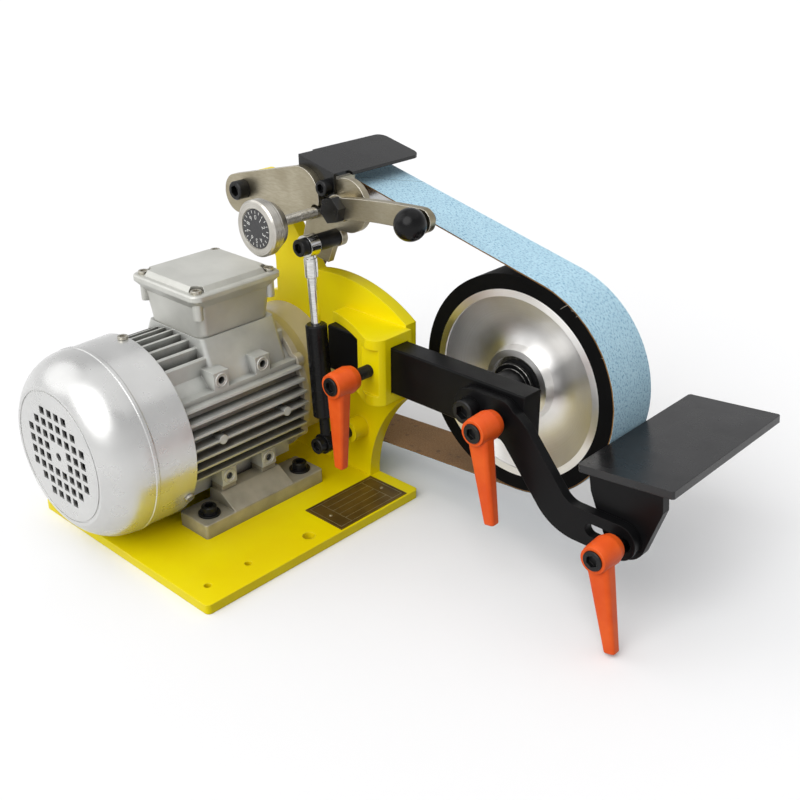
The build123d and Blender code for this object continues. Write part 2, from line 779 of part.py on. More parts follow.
def cover_form(inset):
    """The dome's solid form, drawn in from the outside by the sheet's thickness."""
    radius = cover_radius - inset
    ring = cover_ring_radius - inset
    front = cover_front + inset
    rim = barrel_near + (1 if inset else 0)
    dome_middle = (ring + (radius - ring) * 0.78, front + (cover_dome_start - front) * 0.42)
    outline = make_face([
        Line((0, rim), (radius, rim)),
        Line((radius, rim), (radius - 1, cover_dome_start)),
        ThreePointArc((radius - 1, cover_dome_start), dome_middle, (ring, front)),
        Line((ring, front), (0, front)),
        Line((0, front), (0, rim)),
    ])
    return Pos(motor_x, 0, motor_z) * revolve(outline, Axis.Y)


grille_steps = int(grille_field_radius // grille_pitch) + 1
grille_lines = [(step + 0.5) * grille_pitch for step in range(-grille_steps, grille_steps)]
grille_cells = [
    (x, z)
    for x in grille_lines
    for z in grille_lines
    if grille_pitch < math.hypot(x, z) <= grille_field_radius
]
grille_holes = [
    block(motor_x + x - grille_hole / 2, motor_x + x + grille_hole / 2, cover_front - 1, cover_front + 6,
          motor_z + z - grille_hole / 2, motor_z + z + grille_hole / 2)
    for x, z in grille_cells
]
grille_holes.append(round_y(motor_x, motor_z, grille_centre_hole / 2, cover_front - 1, cover_front + 6))
grille_groove = turned([
    (grille_radius - grille_groove_width, cover_front - 1),
    (grille_radius, cover_front - 1),
    (grille_radius, cover_front + grille_groove_depth),
    (grille_radius - grille_groove_width, cover_front + grille_groove_depth),
], motor_x, motor_z)
bead_radius = cover_radius - cover_wall / 2
bead_top = bead_radius + cover_bead_height
bead_middle = cover_dome_start - cover_bead_width / 2
cover_bead = turned([
    (bead_radius - cover_wall / 2, bead_middle - cover_bead_width / 2),
    (bead_top, bead_middle - cover_bead_width / 4),
    (bead_top, bead_middle + cover_bead_width / 4),
    (bead_radius - cover_wall / 2, bead_middle + cover_bead_width / 2),
], motor_x, motor_z)
cover = cover_form(0) - cover_form(cover_wall) + cover_bead
cover_holes = [
    Pos(motor_x, 0, motor_z) * Rot(0, -angle, 0)
    * round_x(cover_screw_y, 0, cover_screw_diameter / 2 + assembly_gap, cover_inner - 3, cover_radius + 3)
    for angle in cover_screw_angles
]
nodes["fan_cover"] = cover - grille_groove - grille_holes - cover_holes
cover_screw = socket_screw(cover_screw_diameter, cover_wall + cover_screw_grip, cover_screw_diameter * 0.85,
                           cover_screw_diameter * 0.45)
nodes["cover_screws"] = [
    Pos(motor_x, 0, motor_z) * Rot(0, -angle, 0)
    * placed(cover_screw, cover_radius, cover_screw_y, 0, (1, 0, 0))
    for angle in cover_screw_angles
]

# Stator: laminated core pressed in the barrel, with wound ends
stator_middle = barrel_middle + 2
stator_near = stator_middle - stator_length / 2
stator_far = stator_middle + stator_length / 2
nodes["stator_core"] = turned([
    (stator_bore_radius, stator_near),
    (stator_outer_radius, stator_near),
    (stator_outer_radius, stator_far),
    (stator_bore_radius, stator_far),
], motor_x, motor_z)
winding_in = stator_bore_radius + winding_bore_room
winding_out = stator_outer_radius - winding_rim_room
winding_spans = [
    (stator_near - winding_overhang, stator_near),
    (stator_far, stator_far + winding_overhang),
]
nodes["stator_winding"] = [
    turned([(winding_in, low), (winding_out, low), (winding_out, high), (winding_in, high)],
           motor_x, motor_z)
    for low, high in winding_spans
]

# Rotor: shaft with bearing seats, core, bearings and fan
shaft_far = upright_near + shaft_reach
fan_near = barrel_near - rear_plate - fan_shield_gap - fan_length
bearing_journal = motor_bearing_bore / 2
core_journal = bearing_journal + 4
nodes["motor_shaft"] = turned([
    (0, fan_near),
    (shaft_diameter / 2 - fan_seat_step, fan_near),
    (shaft_diameter / 2 - fan_seat_step, rear_bearing_near - 1),
    (bearing_journal, rear_bearing_near - 1),
    (bearing_journal, rear_bearing_far),
    (core_journal, rear_bearing_far),
    (core_journal, drive_bearing_near),
    (bearing_journal, drive_bearing_near),
    (bearing_journal, drive_bearing_far),
    (shaft_diameter / 2, drive_bearing_far),
    (shaft_diameter / 2, shaft_far),
    (0, shaft_far),
], motor_x, motor_z)
core_radius = stator_bore_radius - air_gap
nodes["rotor_core"] = turned([
    (core_journal + assembly_gap, stator_near),
    (core_radius, stator_near),
    (core_radius, stator_far),
    (core_journal + assembly_gap, stator_far),
], motor_x, motor_z)
nodes["motor_bearings"] = [
    bearing(motor_bearing_bore, motor_bearing_outer, motor_bearing_width, motor_x, motor_z, near)
    for near in (rear_bearing_near, drive_bearing_near)
]
fan_disc = 3.0
fan_hub_radius = shaft_diameter / 2 + fan_hub_wall
fan_bore = shaft_diameter / 2 - fan_seat_step + assembly_gap
fan_hub = turned([(fan_bore, fan_near), (fan_hub_radius, fan_near), (fan_hub_radius, fan_near + fan_length),
                  (fan_bore, fan_near + fan_length)], motor_x, motor_z)
fan_far = fan_near + fan_length
fan_back = turned([(fan_hub_radius - 1, fan_far - fan_disc), (fan_radius, fan_far - fan_disc),
                   (fan_radius, fan_far), (fan_hub_radius - 1, fan_far)], motor_x, motor_z)
fan_vanes = [
    Pos(motor_x, 0, motor_z) * Rot(0, index * 360 / fan_blades, 0)
    * block(fan_hub_radius - 1, fan_radius, fan_near, fan_near + fan_length, -fan_disc / 2, fan_disc / 2)
    for index in range(fan_blades)
]
nodes["cooling_fan"] = fan_hub + fan_back + fan_vanes

# Terminal box: cast box on the saddle, with a screwed lid and a blanked cable entry at the back
box_low = saddle_top
box_high = saddle_top + terminal_box_height
box_centre = Pos(terminal_x, terminal_y, box_low)
lip_start = terminal_box_height - terminal_lip_height


def box_level(outset, height):
    """The box's outline, let out from its foot, at a height."""
    width = terminal_box_width + 2 * outset
    length = terminal_box_length + 2 * outset
    return Pos(0, 0, height) * RectangleRounded(width, length, terminal_corner_radius)


box_form = loft([box_level(0, 0), box_level(terminal_flare, lip_start)])
box_form += loft([box_level(terminal_flare, lip_start),
                  box_level(terminal_flare + terminal_lip_reach, terminal_box_height)])
box_hollow = loft([box_level(-terminal_box_wall, terminal_box_wall),
                   box_level(terminal_flare - terminal_box_wall, terminal_box_height)])
lid_width = terminal_box_width + 2 * (terminal_flare + terminal_lip_reach)
lid_length = terminal_box_length + 2 * (terminal_flare + terminal_lip_reach)
lid_screw_x = lid_width / 2 - lid_screw_inset
lid_screw_y = lid_length / 2 - lid_screw_inset
lid_places = [(sx * lid_screw_x, sy * lid_screw_y) for sx in (-1, 1) for sy in (-1, 1)]
pillar_foot = terminal_box_height * 0.5
pillars = [round_z(x, y, lid_screw_diameter, pillar_foot, terminal_box_height) for x, y in lid_places]
lid_hole = lid_screw_diameter / 2 + assembly_gap
pillar_holes = [round_z(x, y, lid_hole, terminal_box_height - lid_screw_grip - 2, terminal_box_height + 1)
                for x, y in lid_places]
cable_entry = round_x(0, terminal_box_height / 2, cable_entry_radius,
                      -terminal_box_width / 2 - cable_entry_height, -terminal_box_width / 2 + 2)
box_shell = box_form - box_hollow + pillars + cable_entry
nodes["terminal_box"] = box_centre * (box_shell - pillar_holes)
lid_plate = extrude(RectangleRounded(lid_width, lid_length, terminal_corner_radius),
                    amount=terminal_lid_thickness)
lid_plate = chamfer(lid_plate.edges().group_by(Axis.Z)[-1], terminal_lid_thickness / 4)
panel_base = RectangleRounded(lid_width - 2 * terminal_panel_inset, lid_length - 2 * terminal_panel_inset,
                              terminal_corner_radius)
lid_panel = extrude(Pos(0, 0, terminal_lid_thickness) * panel_base, amount=terminal_lid_panel,
                    taper=terminal_panel_taper)
lid_above = terminal_lid_thickness + terminal_lid_panel + 1
lid_corner_flats = [round_z(x, y, lid_screw_diameter * 1.6, terminal_lid_thickness, lid_above)
                    for x, y in lid_places]
lid_holes = [round_z(x, y, lid_hole, -1, lid_above) for x, y in lid_places]
lid = lid_plate + lid_panel - lid_corner_flats - lid_holes
lid_place = Pos(terminal_x, terminal_y, box_high)
nodes["terminal_lid"] = lid_place * lid
lid_screw = socket_screw(lid_screw_diameter, terminal_lid_thickness + lid_screw_grip,
                         lid_screw_diameter * 1.1, lid_screw_diameter * 0.6)
nodes["lid_screws"] = [lid_place * Pos(x, y, terminal_lid_thickness) * lid_screw for x, y in lid_places]

# Drive wheel: turned aluminium on the shaft, with its key and end bolt
key_width = 6.0
key_near = belt_near + key_end_inset
key_far = shaft_far - key_end_inset
key_low = shaft_diameter / 2 - key_seat_depth
key_high = shaft_diameter / 2 + key_proud
key_form = block(-key_width / 2, key_width / 2, key_near, key_far, key_low, key_high)
key_slot = block(-key_width / 2 - assembly_gap, key_width / 2 + assembly_gap, key_near - assembly_gap,
                 key_far + assembly_gap, key_low - assembly_gap, key_high)
drive_place = Pos(motor_x, 0, motor_z)
nodes["shaft_key"] = drive_place * key_form
drive_bore = shaft_diameter / 2 + assembly_gap
drive_middle = (belt_near + belt_far) / 2
drive_hub_far = shaft_far + drive_hub_overhang
drive_wheel = turned([
    (drive_bore, belt_near + 2),
    (drive_hub_radius, belt_near + 2),
    (drive_hub_radius, drive_middle - drive_web / 2),
    (drive_wheel_radius - drive_rim_wall, drive_middle - drive_web / 2),
    (drive_wheel_radius - drive_rim_wall, belt_near),
    (drive_wheel_radius, belt_near),
    (drive_wheel_radius, belt_far),
    (drive_wheel_radius - drive_rim_wall, belt_far),
    (drive_wheel_radius - drive_rim_wall, drive_middle + drive_web / 2),
    (drive_hub_radius, drive_middle + drive_web / 2),
    (drive_hub_radius, drive_hub_far),
    (drive_bore, drive_hub_far),
], motor_x, motor_z)
keyway = drive_place * block(-key_width / 2 - assembly_gap, key_width / 2 + assembly_gap, belt_near,
                             drive_hub_far + 1, 0, key_high + assembly_gap)
nodes["drive_wheel"] = drive_wheel - keyway
end_bolt = socket_screw(end_bolt_diameter, end_bolt_length, end_bolt_diameter * wide_head_ratio,
                        end_bolt_diameter + end_washer_thickness)
end_washer = Cylinder(drive_hub_radius * cap_head_ratio, end_washer_thickness,
                      align=(Align.CENTER, Align.CENTER, Align.MIN))
end_bolt = end_bolt + end_washer
nodes["drive_wheel_bolt"] = placed(end_bolt, motor_x, drive_hub_far, motor_z, (0, 1, 0))
bolt_hole = round_y(motor_x, motor_z, end_bolt_diameter / 2 + assembly_gap, shaft_far - end_bolt_length,
                    shaft_far + 1)
nodes["motor_shaft"] = nodes["motor_shaft"] - bolt_hole - drive_place * key_slot

# Belt: one closed loop round the three wheels
def belt_outline(offset):
    return hull_of(
        at(motor_x, motor_z, Circle(drive_wheel_radius + offset)),
        at(tracking_wheel_x, tracking_wheel_z, Circle(tracking_wheel_radius + offset)),
        at(contact_wheel_x, contact_wheel_z, Circle(contact_wheel_radius + offset)),
    )


belt_outside = belt_outline(moving_gap + belt_thickness)
belt_inside = belt_outline(moving_gap)
belt_core = slab(belt_inside, belt_near - 1, belt_far + 1)
nodes["abrasive_belt"] = slab(belt_outside, belt_near, belt_far) - belt_core
belt_length = sum(edge.length for edge in belt_outline(moving_gap + belt_thickness / 2).edges())
print("belt length along its middle", round(belt_length, 1))

# Tool arm: black flat bar through the receiver, drilled for the axle screw and the rest's clamp
rest_clamp_x = contact_wheel_x + rest_clamp_distance
bar = block(bar_rear, bar_front, bar_near, bar_far, bar_bottom, bar_top)
bar = chamfer(bar.edges().filter_by(Axis.X), 1)
axle_screw_hole = axle_screw_diameter / 2 + assembly_gap
bar_holes = [
    round_y(contact_wheel_x, contact_wheel_z, axle_screw_hole, bar_near - 1, bar_far + 1),
    round_y(rest_clamp_x, bar_z, stud_diameter / 2 + running_gap, bar_near - 1, bar_far + 1),
]
nodes["tool_arm_bar"] = bar - bar_holes

# Contact wheel axle: turned shaft with a flanged collar against the bar, held by a long screw
contact_bearing_near = belt_near + bearing_inset
contact_bearing_far = belt_far - bearing_inset
axle_shoulder_radius = contact_bearing_bore / 2 + axle_shoulder
axle_flange_far = belt_near - moving_gap
axle_flange_near = axle_flange_far - axle_flange_thickness
axle_end = contact_bearing_far + moving_gap
axle = turned([
    (0, bar_far),
    (axle_collar_radius, bar_far),
    (axle_collar_radius, axle_flange_near),
    (axle_flange_radius, axle_flange_near),
    (axle_flange_radius, axle_flange_far),
    (axle_shoulder_radius, axle_flange_far),
    (axle_shoulder_radius, contact_bearing_near - moving_gap),
    (contact_bearing_bore / 2, contact_bearing_near - moving_gap),
    (contact_bearing_bore / 2, axle_end),
    (0, axle_end),
], contact_wheel_x, contact_wheel_z)
axle_thread_depth = 24.0
axle_holes = [
    round_y(contact_wheel_x, contact_wheel_z, axle_screw_hole, bar_far - 1, bar_far + axle_thread_depth),
    round_y(contact_wheel_x, contact_wheel_z, axle_screw_hole, axle_end - axle_thread_depth, axle_end + 1),
]
nodes["contact_axle"] = axle - axle_holes
axle_head_radius = 9.5
axle_head_seat = rest_arm_near - moving_gap
axle_screw = socket_screw(axle_screw_diameter, bar_far - axle_head_seat + axle_thread_depth - 2,
                          axle_head_radius, axle_screw_diameter)
axle_sleeve = Pos(0, 0, -(bar_near - axle_head_seat)) * Cylinder(
    rest_sleeve_radius, bar_near - axle_head_seat, align=(Align.CENTER, Align.CENTER, Align.MIN))
end_screw = socket_screw(axle_screw_diameter, axle_thread_depth - 2, axle_head_radius,
                         axle_screw_diameter * 0.5)
nodes["axle_screws"] = [
    placed(axle_screw + axle_sleeve, contact_wheel_x, axle_head_seat, contact_wheel_z, (0, -1, 0)),
    placed(end_screw, contact_wheel_x, axle_end, contact_wheel_z, (0, 1, 0)),
]

# Contact wheel: dished aluminium hub, rubber tyre and two bearings
tyre_inner = contact_wheel_radius - tyre_thickness
rim_inner = tyre_inner - contact_rim_wall
boss_near = belt_near + contact_boss_inset
bearing_hole = contact_bearing_outer / 2 + assembly_gap
boss_root_radius = contact_boss_radius + contact_boss_flare
dish_span = rim_inner - boss_root_radius


def dish_side(face, inward):
    """One side of the hub from the bearing to the tyre: boss face, boss wall, bowl and flat rim."""
    boss = face + inward * contact_boss_inset
    step = face + inward * contact_rim_step
    bowl = [
        (boss_root_radius, face + inward * contact_boss_root),
        (boss_root_radius + dish_span * bowl_deep_share, face + inward * contact_dish_depth),
        (boss_root_radius + dish_span * bowl_rise_share,
         face + inward * contact_dish_depth * bowl_rise_depth),
        (rim_inner, step),
    ]
    return [
        Line((bearing_hole, boss), (contact_boss_radius, boss)),
        Line((contact_boss_radius, boss), bowl[0]),
        Spline(*bowl),
        Line(bowl[-1], (rim_inner, face)),
        Line((rim_inner, face), (tyre_inner, face)),
    ]


hub_profile = make_face([
    *dish_side(belt_near, 1),
    Line((tyre_inner, belt_near), (tyre_inner, belt_far)),
    *dish_side(belt_far, -1),
    Line((bearing_hole, boss_near), (bearing_hole, belt_near + belt_far - boss_near)),
])
nodes["contact_hub"] = Pos(contact_wheel_x, 0, contact_wheel_z) * revolve(hub_profile, Axis.Y)
tyre_profile = Polygon((tyre_inner, belt_near), (contact_wheel_radius, belt_near),
                       (contact_wheel_radius, belt_far), (tyre_inner, belt_far), align=None)
nodes["contact_tyre"] = Pos(contact_wheel_x, 0, contact_wheel_z) * revolve(tyre_profile, Axis.Y)
nodes["contact_bearings"] = [
    bearing(contact_bearing_bore, contact_bearing_outer, contact_bearing_width, contact_wheel_x,
            contact_wheel_z, near)
    for near in (contact_bearing_near, contact_bearing_far - contact_bearing_width)
]

# Work rest: cranked black arm that swings about the contact wheel's axle
table_pivot_z = bar_z - rest_arm_drop
slope = math.radians(table_slope)
edge_u = -table_width / 2
edge_w = table_height + table_thickness
edge_x = edge_u * math.cos(slope) - edge_w * math.sin(slope)
edge_z = edge_u * math.sin(slope) + edge_w * math.cos(slope)
edge_distance = belt_outer_radius + table_gap
edge_height = table_pivot_z + edge_z - contact_wheel_z
table_pivot_x = contact_wheel_x - edge_x + math.sqrt(edge_distance ** 2 - edge_height ** 2)
crank_top_x = contact_wheel_x + rest_clamp_distance + crank_start
crank_low_x = table_pivot_x - crank_run
rest_path = FilletPolyline((contact_wheel_x, bar_z), (crank_top_x, bar_z), (crank_low_x, table_pivot_z),
                           (table_pivot_x, table_pivot_z), radius=rest_arm_bend_radius)
rest_outline = make_face(offset(rest_path, amount=rest_arm_width / 2).edges())
rest_pad = hull_of(at(contact_wheel_x, bar_z, Circle(rest_pad_radius)),
                   at(rest_clamp_x, bar_z, Circle(rest_pad_radius)))
rest_arm = slab(rest_outline + rest_pad, rest_arm_near, rest_arm_far)
slot_height = stud_diameter + 2 * moving_gap
swing_slot = SlotArc(CenterArc((contact_wheel_x, bar_z), rest_clamp_distance, -rest_swing_up - 1,
                               rest_swing_up + rest_swing_down + 2), slot_height)
table_slot = at(table_pivot_x + (table_slot_outward - table_slot_inward) / 2, table_pivot_z,
                SlotCenterToCenter(table_slot_inward + table_slot_outward, slot_height))
rest_cuts = [
    slab(swing_slot, rest_arm_near - 1, rest_arm_far + 1),
    slab(table_slot, rest_arm_near - 1, rest_arm_far + 1),
    round_y(contact_wheel_x, bar_z, rest_sleeve_radius + running_gap, rest_arm_near - 1, rest_arm_far + 1),
]
nodes["rest_arm"] = rest_arm - rest_cuts

# Table: flat plate on a tapered bracket that tilts about the lower clamp
bracket_near = rest_arm_far + moving_gap
bracket_far = bracket_near + bracket_thickness
table_turn = Pos(table_pivot_x, 0, table_pivot_z) * Rot(0, -table_slope, 0)
bracket_outline = hull_of(
    Circle(bracket_lug_radius),
    Polygon((-table_width / 2 + 10, table_height), (table_width / 2 - 8, table_height),
            (table_width / 2 - 8, table_height - 13), (-table_width / 2 + 11, table_height - 12),
            align=None),
)
bracket = slab(bracket_outline, bracket_near, bracket_far)
bracket = bracket - round_y(0, 0, stud_diameter / 2 + running_gap, bracket_near - 1, bracket_far + 1)
nodes["table_bracket"] = table_turn * bracket
table = block(-table_width / 2, table_width / 2, bracket_near, bracket_near + table_length, table_height,
              table_height + table_thickness)
table = chamfer(table.edges().filter_by(Axis.Z), table_corner_chamfer)
nodes["table_plate"] = table_turn * table


# Clamp levers: orange handle with a hub, on a black stud that ends in a socket screw head
def clamp_handle(x, z, hub_far, lean):
    """Handle hanging from a hub whose back end is at hub_far, leaning towards +X."""
    hub_near = hub_far - lever_hub_length
    hub = turned([
        (0, hub_near),
        (lever_hub_radius - lever_hub_taper, hub_near),
        (lever_hub_radius - lever_hub_taper / 2, hub_near + lever_hub_length / 6),
        (lever_hub_radius, hub_far - lever_hub_length / 4),
        (lever_hub_radius - lever_hub_taper, hub_far),
        (0, hub_far),
    ], 0, 0)
    arm_y = hub_near + lever_arm_setback + lever_root_depth / 2
    root_plane = Plane(origin=(0, arm_y, -lever_arm_setback), z_dir=(0, 0, -1))
    tip_plane = Plane(origin=(0, arm_y, -lever_reach), z_dir=(0, 0, -1))
    root = root_plane * RectangleRounded(lever_root_width, lever_root_depth, lever_root_depth * 0.3)
    tip = tip_plane * RectangleRounded(lever_tip_width, lever_tip_depth, lever_tip_depth * 0.3)
    arm = loft([root, tip])
    arm = fillet(arm.edges().group_by(Axis.Z)[0], lever_end_radius)
    bore = round_y(0, 0, stud_diameter / 2 + assembly_gap, hub_near - 1, hub_far + 1)
    sink = round_y(0, 0, stud_diameter * cap_head_ratio + assembly_gap, hub_near - 1,
                   hub_near + lever_head_sink)
    return Pos(x, 0, z) * Rot(0, -lean, 0) * (hub + arm - bore - sink)


def clamp_stud(x, z, hub_far, tip):
    """Stud from the screw head sunk in the hub to its threaded tip."""
    head_seat = hub_far - lever_hub_length + lever_head_sink
    stud = socket_screw(stud_diameter, tip - head_seat, stud_diameter * cap_head_ratio, lever_head_height)
    return placed(stud, x, head_seat, z, (0, -1, 0))


arm_hub_far = receiver_front + receiver_web_recess - arm_clamp_gap
rest_hub_far = rest_arm_near - lever_hub_gap
nodes["arm_clamp_handle"] = clamp_handle(arm_clamp_x, bar_z, arm_hub_far, arm_clamp_lean)
nodes["arm_clamp_stud"] = clamp_stud(arm_clamp_x, bar_z, arm_hub_far, bar_near - moving_gap)
nodes["rest_clamp_handle"] = clamp_handle(rest_clamp_x, bar_z, rest_hub_far, rest_clamp_lean)
nodes["rest_clamp_stud"] = clamp_stud(rest_clamp_x, bar_z, rest_hub_far, bar_far - 2)
nodes["table_clamp_handle"] = clamp_handle(table_pivot_x, table_pivot_z, rest_hub_far, table_clamp_lean)
nodes["table_clamp_stud"] = clamp_stud(table_pivot_x, table_pivot_z, rest_hub_far, bracket_far)

# Tension arm: bare steel plate that swings on the pivot bolt in the upright's horn
arm_left_x = arm_pivot_x - arm_left_reach
arm_left_z = arm_pivot_z - arm_left_drop
arm_right_x = tracking_screw_x - arm_right_inset
arm_right_z = tracking_screw_z + arm_right_rise
arm_outline = hull_of(at(arm_left_x, arm_left_z, Circle(arm_left_radius)),
                      at(arm_right_x, arm_right_z, Circle(arm_right_radius)))
arm_plate = slab(arm_outline, arm_plate_near, arm_plate_far)
arm_boss = round_y(arm_pivot_x, arm_pivot_z, pivot_lug_radius - arm_boss_inset, arm_plate_far,
                   upright_near - moving_gap)
screw_pass = tracking_screw_diameter / 2 + 2
plate_screw_diameter = 8.0
plate_screw_places = [(arm_right_x + 6, arm_right_z - 3), (arm_right_x + 4, arm_right_z - 15)]
guard_screw_x = lever_bolt_x - guard_screw_setback
guard_screw_z = lever_bolt_z + guard_screw_rise
plate_screw_hole = plate_screw_diameter / 2 + assembly_gap
arm_cuts = [
    round_y(arm_pivot_x, arm_pivot_z, arm_pivot_diameter / 2 + running_gap, arm_plate_near - 1,
            upright_near),
    round_y(tracking_screw_x, tracking_screw_z, screw_pass, arm_plate_near - 1, arm_plate_far + 1),
]
arm_cuts += [round_y(x, z, plate_screw_hole, arm_plate_near + 1, arm_plate_far + 1)
             for x, z in plate_screw_places]
nodes["tension_arm"] = arm_plate + arm_boss - arm_cuts
pivot_seat = arm_plate_near - moving_gap
pivot_bolt = socket_screw(arm_pivot_diameter, upright_far - pivot_seat, arm_pivot_diameter * 0.67,
                          arm_pivot_diameter * 0.9)
nodes["arm_pivot_bolt"] = placed(pivot_bolt, arm_pivot_x, pivot_seat, arm_pivot_z, (0, -1, 0))

# Link plate: steel plate behind the arm that carries the lever bolt, the strut pin and the tracker hinge
link_left = arm_right_x - 17
link_top = hinge_z + 9
ear_far = tracker_far
hinge_y = (tracker_near + tracker_far) / 2
tracker_left = tracking_wheel_x + 1 - tracker_width / 2
tracker_right = tracker_left + tracker_width
link_low = lever_bolt_z - link_disc_radius
link_body = Polygon((link_left, link_top), (lever_bolt_x, link_top), (lever_bolt_x, link_low),
                    (tracker_left, link_low), (link_left, lever_bolt_z - 15), align=None)
link_disc = at(lever_bolt_x, lever_bolt_z, Circle(link_disc_radius))
pin_lug = at(strut_upper_x, strut_upper_z, Circle(strut_pin_diameter))
leg_top = Polygon((tracker_left + 2, lever_bolt_z - link_disc_radius + 4),
                  (lever_bolt_x - 9, lever_bolt_z - link_disc_radius + 4),
                  (strut_upper_x - 10, strut_upper_z - 24), (strut_upper_x - 24, strut_upper_z - 22),
                  (tracker_left - 5, strut_upper_z - 12), align=None)
link_outline = link_body + link_disc + pin_lug + leg_top
link_plate = slab(link_outline, guard_far, link_plate_far)
ear_low = hinge_z - 9
ears = [
    block(tracker_left - moving_gap - hinge_ear_width, tracker_left - moving_gap, link_plate_far, ear_far,
          ear_low, link_top),
    block(tracker_right + moving_gap, tracker_right + moving_gap + hinge_ear_width, link_plate_far, ear_far,
          ear_low, link_top),
]
link_cuts = [
    round_x(hinge_y, hinge_z, hinge_pin_diameter / 2 + assembly_gap, tracker_left - 20, tracker_right + 20),
    round_y(tracking_screw_x, tracking_screw_z, tracking_screw_diameter / 2 + running_gap, guard_far - 1,
            link_plate_far + 1),
    round_y(lever_bolt_x, lever_bolt_z, lever_bolt_diameter / 2 + assembly_gap, guard_far - 1,
            link_plate_far + 1),
    round_y(strut_upper_x, strut_upper_z, strut_pin_diameter / 2 + assembly_gap, guard_far - 1,
            link_plate_far + 1),
    round_y(guard_screw_x, guard_screw_z, plate_screw_hole, guard_far - 1, link_plate_far + 1),
]
link_cuts += [round_y(x, z, plate_screw_hole, guard_far - 1, link_plate_far + 1)
              for x, z in plate_screw_places]
nodes["link_plate"] = link_plate + ears - link_cuts

# Guard: bent black sheet over the tracking wheel, its flange held between the arm and the link plate
neck_left = tracking_wheel_x + 4 - guard_neck_width / 2
neck_right = neck_left + guard_neck_width
guard_fall = math.tan(math.radians(guard_slope))
guard_rise = guard_thickness / math.cos(math.radians(guard_slope))


def guard_height(x):
    """Underside of the guard's top at a place along X."""
    return tracking_wheel_z + guard_above_wheel - (x - tracking_wheel_x) * guard_fall


def guard_strip(left, right):
    left_z = guard_height(left)
    right_z = guard_height(right)
    return Polygon((left, left_z), (right, right_z), (right, right_z + guard_rise),
                   (left, left_z + guard_rise), align=None)


flange_low = tracking_screw_z - 5
flange_sheet = Polygon((neck_left, arm_right_z - 8), (neck_left + 14, flange_low), (neck_right, flange_low),
                       (neck_right, guard_height(neck_right)), (neck_left, guard_height(neck_left)),
                       align=None)
wide_left = neck_left - guard_left_ear
wide_right = neck_right + guard_right_ear
guard_end = arm_plate_far + guard_reach
neck_end = arm_plate_far + guard_neck_length
guard_wide = slab(guard_strip(wide_left, wide_right), neck_end, guard_end)
far_corners = guard_wide.edges().group_by(Axis.Y)[-1].filter_by(Axis.Z)
guard_wide = fillet(far_corners, guard_corner_radius)
guard = guard_wide + slab(guard_strip(neck_left, neck_right), arm_plate_far, neck_end)
guard = guard + slab(flange_sheet, arm_plate_far, guard_far)
guard_cuts = [
    round_y(guard_screw_x, guard_screw_z, plate_screw_hole, arm_plate_far - 1, guard_far + 1),
    round_y(tracking_screw_x, tracking_screw_z, screw_pass, arm_plate_far - 1, guard_far + 1),
]
guard_cuts += [round_y(x, z, plate_screw_hole, arm_plate_far - 1, guard_far + 1)
               for x, z in plate_screw_places]
nodes["belt_guard"] = guard - guard_cuts
front_screw = socket_screw(plate_screw_diameter, link_plate_thickness + guard_thickness,
                           plate_screw_diameter * wide_head_ratio, plate_screw_diameter)
flat_screw = socket_screw(plate_screw_diameter, link_plate_thickness + guard_thickness + 4,
                          plate_screw_diameter * wide_head_ratio, tracker_gap * 0.5)
nodes["plate_screws"] = [placed(front_screw, guard_screw_x, arm_plate_far, guard_screw_z, (0, -1, 0))]
nodes["plate_screws"] += [placed(flat_screw, x, link_plate_far, z, (0, 1, 0))
                          for x, z in plate_screw_places]

# Release lever: flat steel handle on the link plate, with a hexagon bolt and a ball at its end
lever_near = guard_far - release_lever_thickness - release_lever_standoff
lever_far = lever_near + release_lever_thickness
lever_end_x = lever_bolt_x + release_lever_length
lever_end_z = lever_bolt_z + release_lever_rise
lever_middle_x = (lever_bolt_x + lever_end_x) / 2
lever_middle_z = (lever_bolt_z + lever_end_z) / 2 + release_lever_bow
root_high = (lever_bolt_x, lever_bolt_z + release_lever_root / 2)
root_low = (lever_bolt_x, lever_bolt_z - release_lever_root / 2)
tip_high = (lever_end_x, lever_end_z + release_lever_tip_radius)
tip_low = (lever_end_x, lever_end_z - release_lever_tip_radius)
lever_outline = make_face([
    Line(root_high, root_low),
    ThreePointArc(root_low, (lever_middle_x, lever_middle_z - release_lever_middle / 2), tip_low),
    Line(tip_low, tip_high),
    ThreePointArc(tip_high, (lever_middle_x, lever_middle_z + release_lever_middle / 2), root_high),
])
lever_tip = at(lever_end_x, lever_end_z, Circle(release_lever_tip_radius))
lever_hub = at(lever_bolt_x, lever_bolt_z, Circle(release_lever_root * 0.62))
lever = slab(lever_outline + lever_tip + lever_hub, lever_near, lever_far)
lever = lever + round_y(lever_bolt_x, lever_bolt_z, release_lever_root * 0.6, lever_far, guard_far)
lever_bolt_radius = lever_bolt_diameter / 2
ball_bolt_hole = ball_bolt_diameter / 2 + assembly_gap
ball_bolt_end = lever_near - ball_bolt_reach
lever_holes = [
    round_y(lever_bolt_x, lever_bolt_z, lever_bolt_radius + assembly_gap, lever_near - 1, guard_far + 1),
    round_y(lever_end_x, lever_end_z, ball_bolt_hole, lever_near - 1, lever_far + 1),
]
nodes["release_lever"] = lever - lever_holes
ball = Pos(lever_end_x, lever_near - ball_seat_depth, lever_end_z) * Sphere(ball_radius)
ball_seat = block(lever_end_x - ball_radius, lever_end_x + ball_radius, lever_near, lever_far,
                  lever_end_z - ball_radius, lever_end_z + ball_radius)
ball_hole = round_y(lever_end_x, lever_end_z, ball_bolt_hole, ball_bolt_end - assembly_gap, lever_far)
nodes["lever_ball"] = ball - ball_seat - ball_hole
ball_bolt = socket_screw(ball_bolt_diameter, lever_far - ball_bolt_end, ball_bolt_head_radius,
                         ball_bolt_head_height)
nodes["plate_screws"] += [placed(ball_bolt, lever_end_x, lever_far, lever_end_z, (0, 1, 0))]
bolt_head_height = 8.0
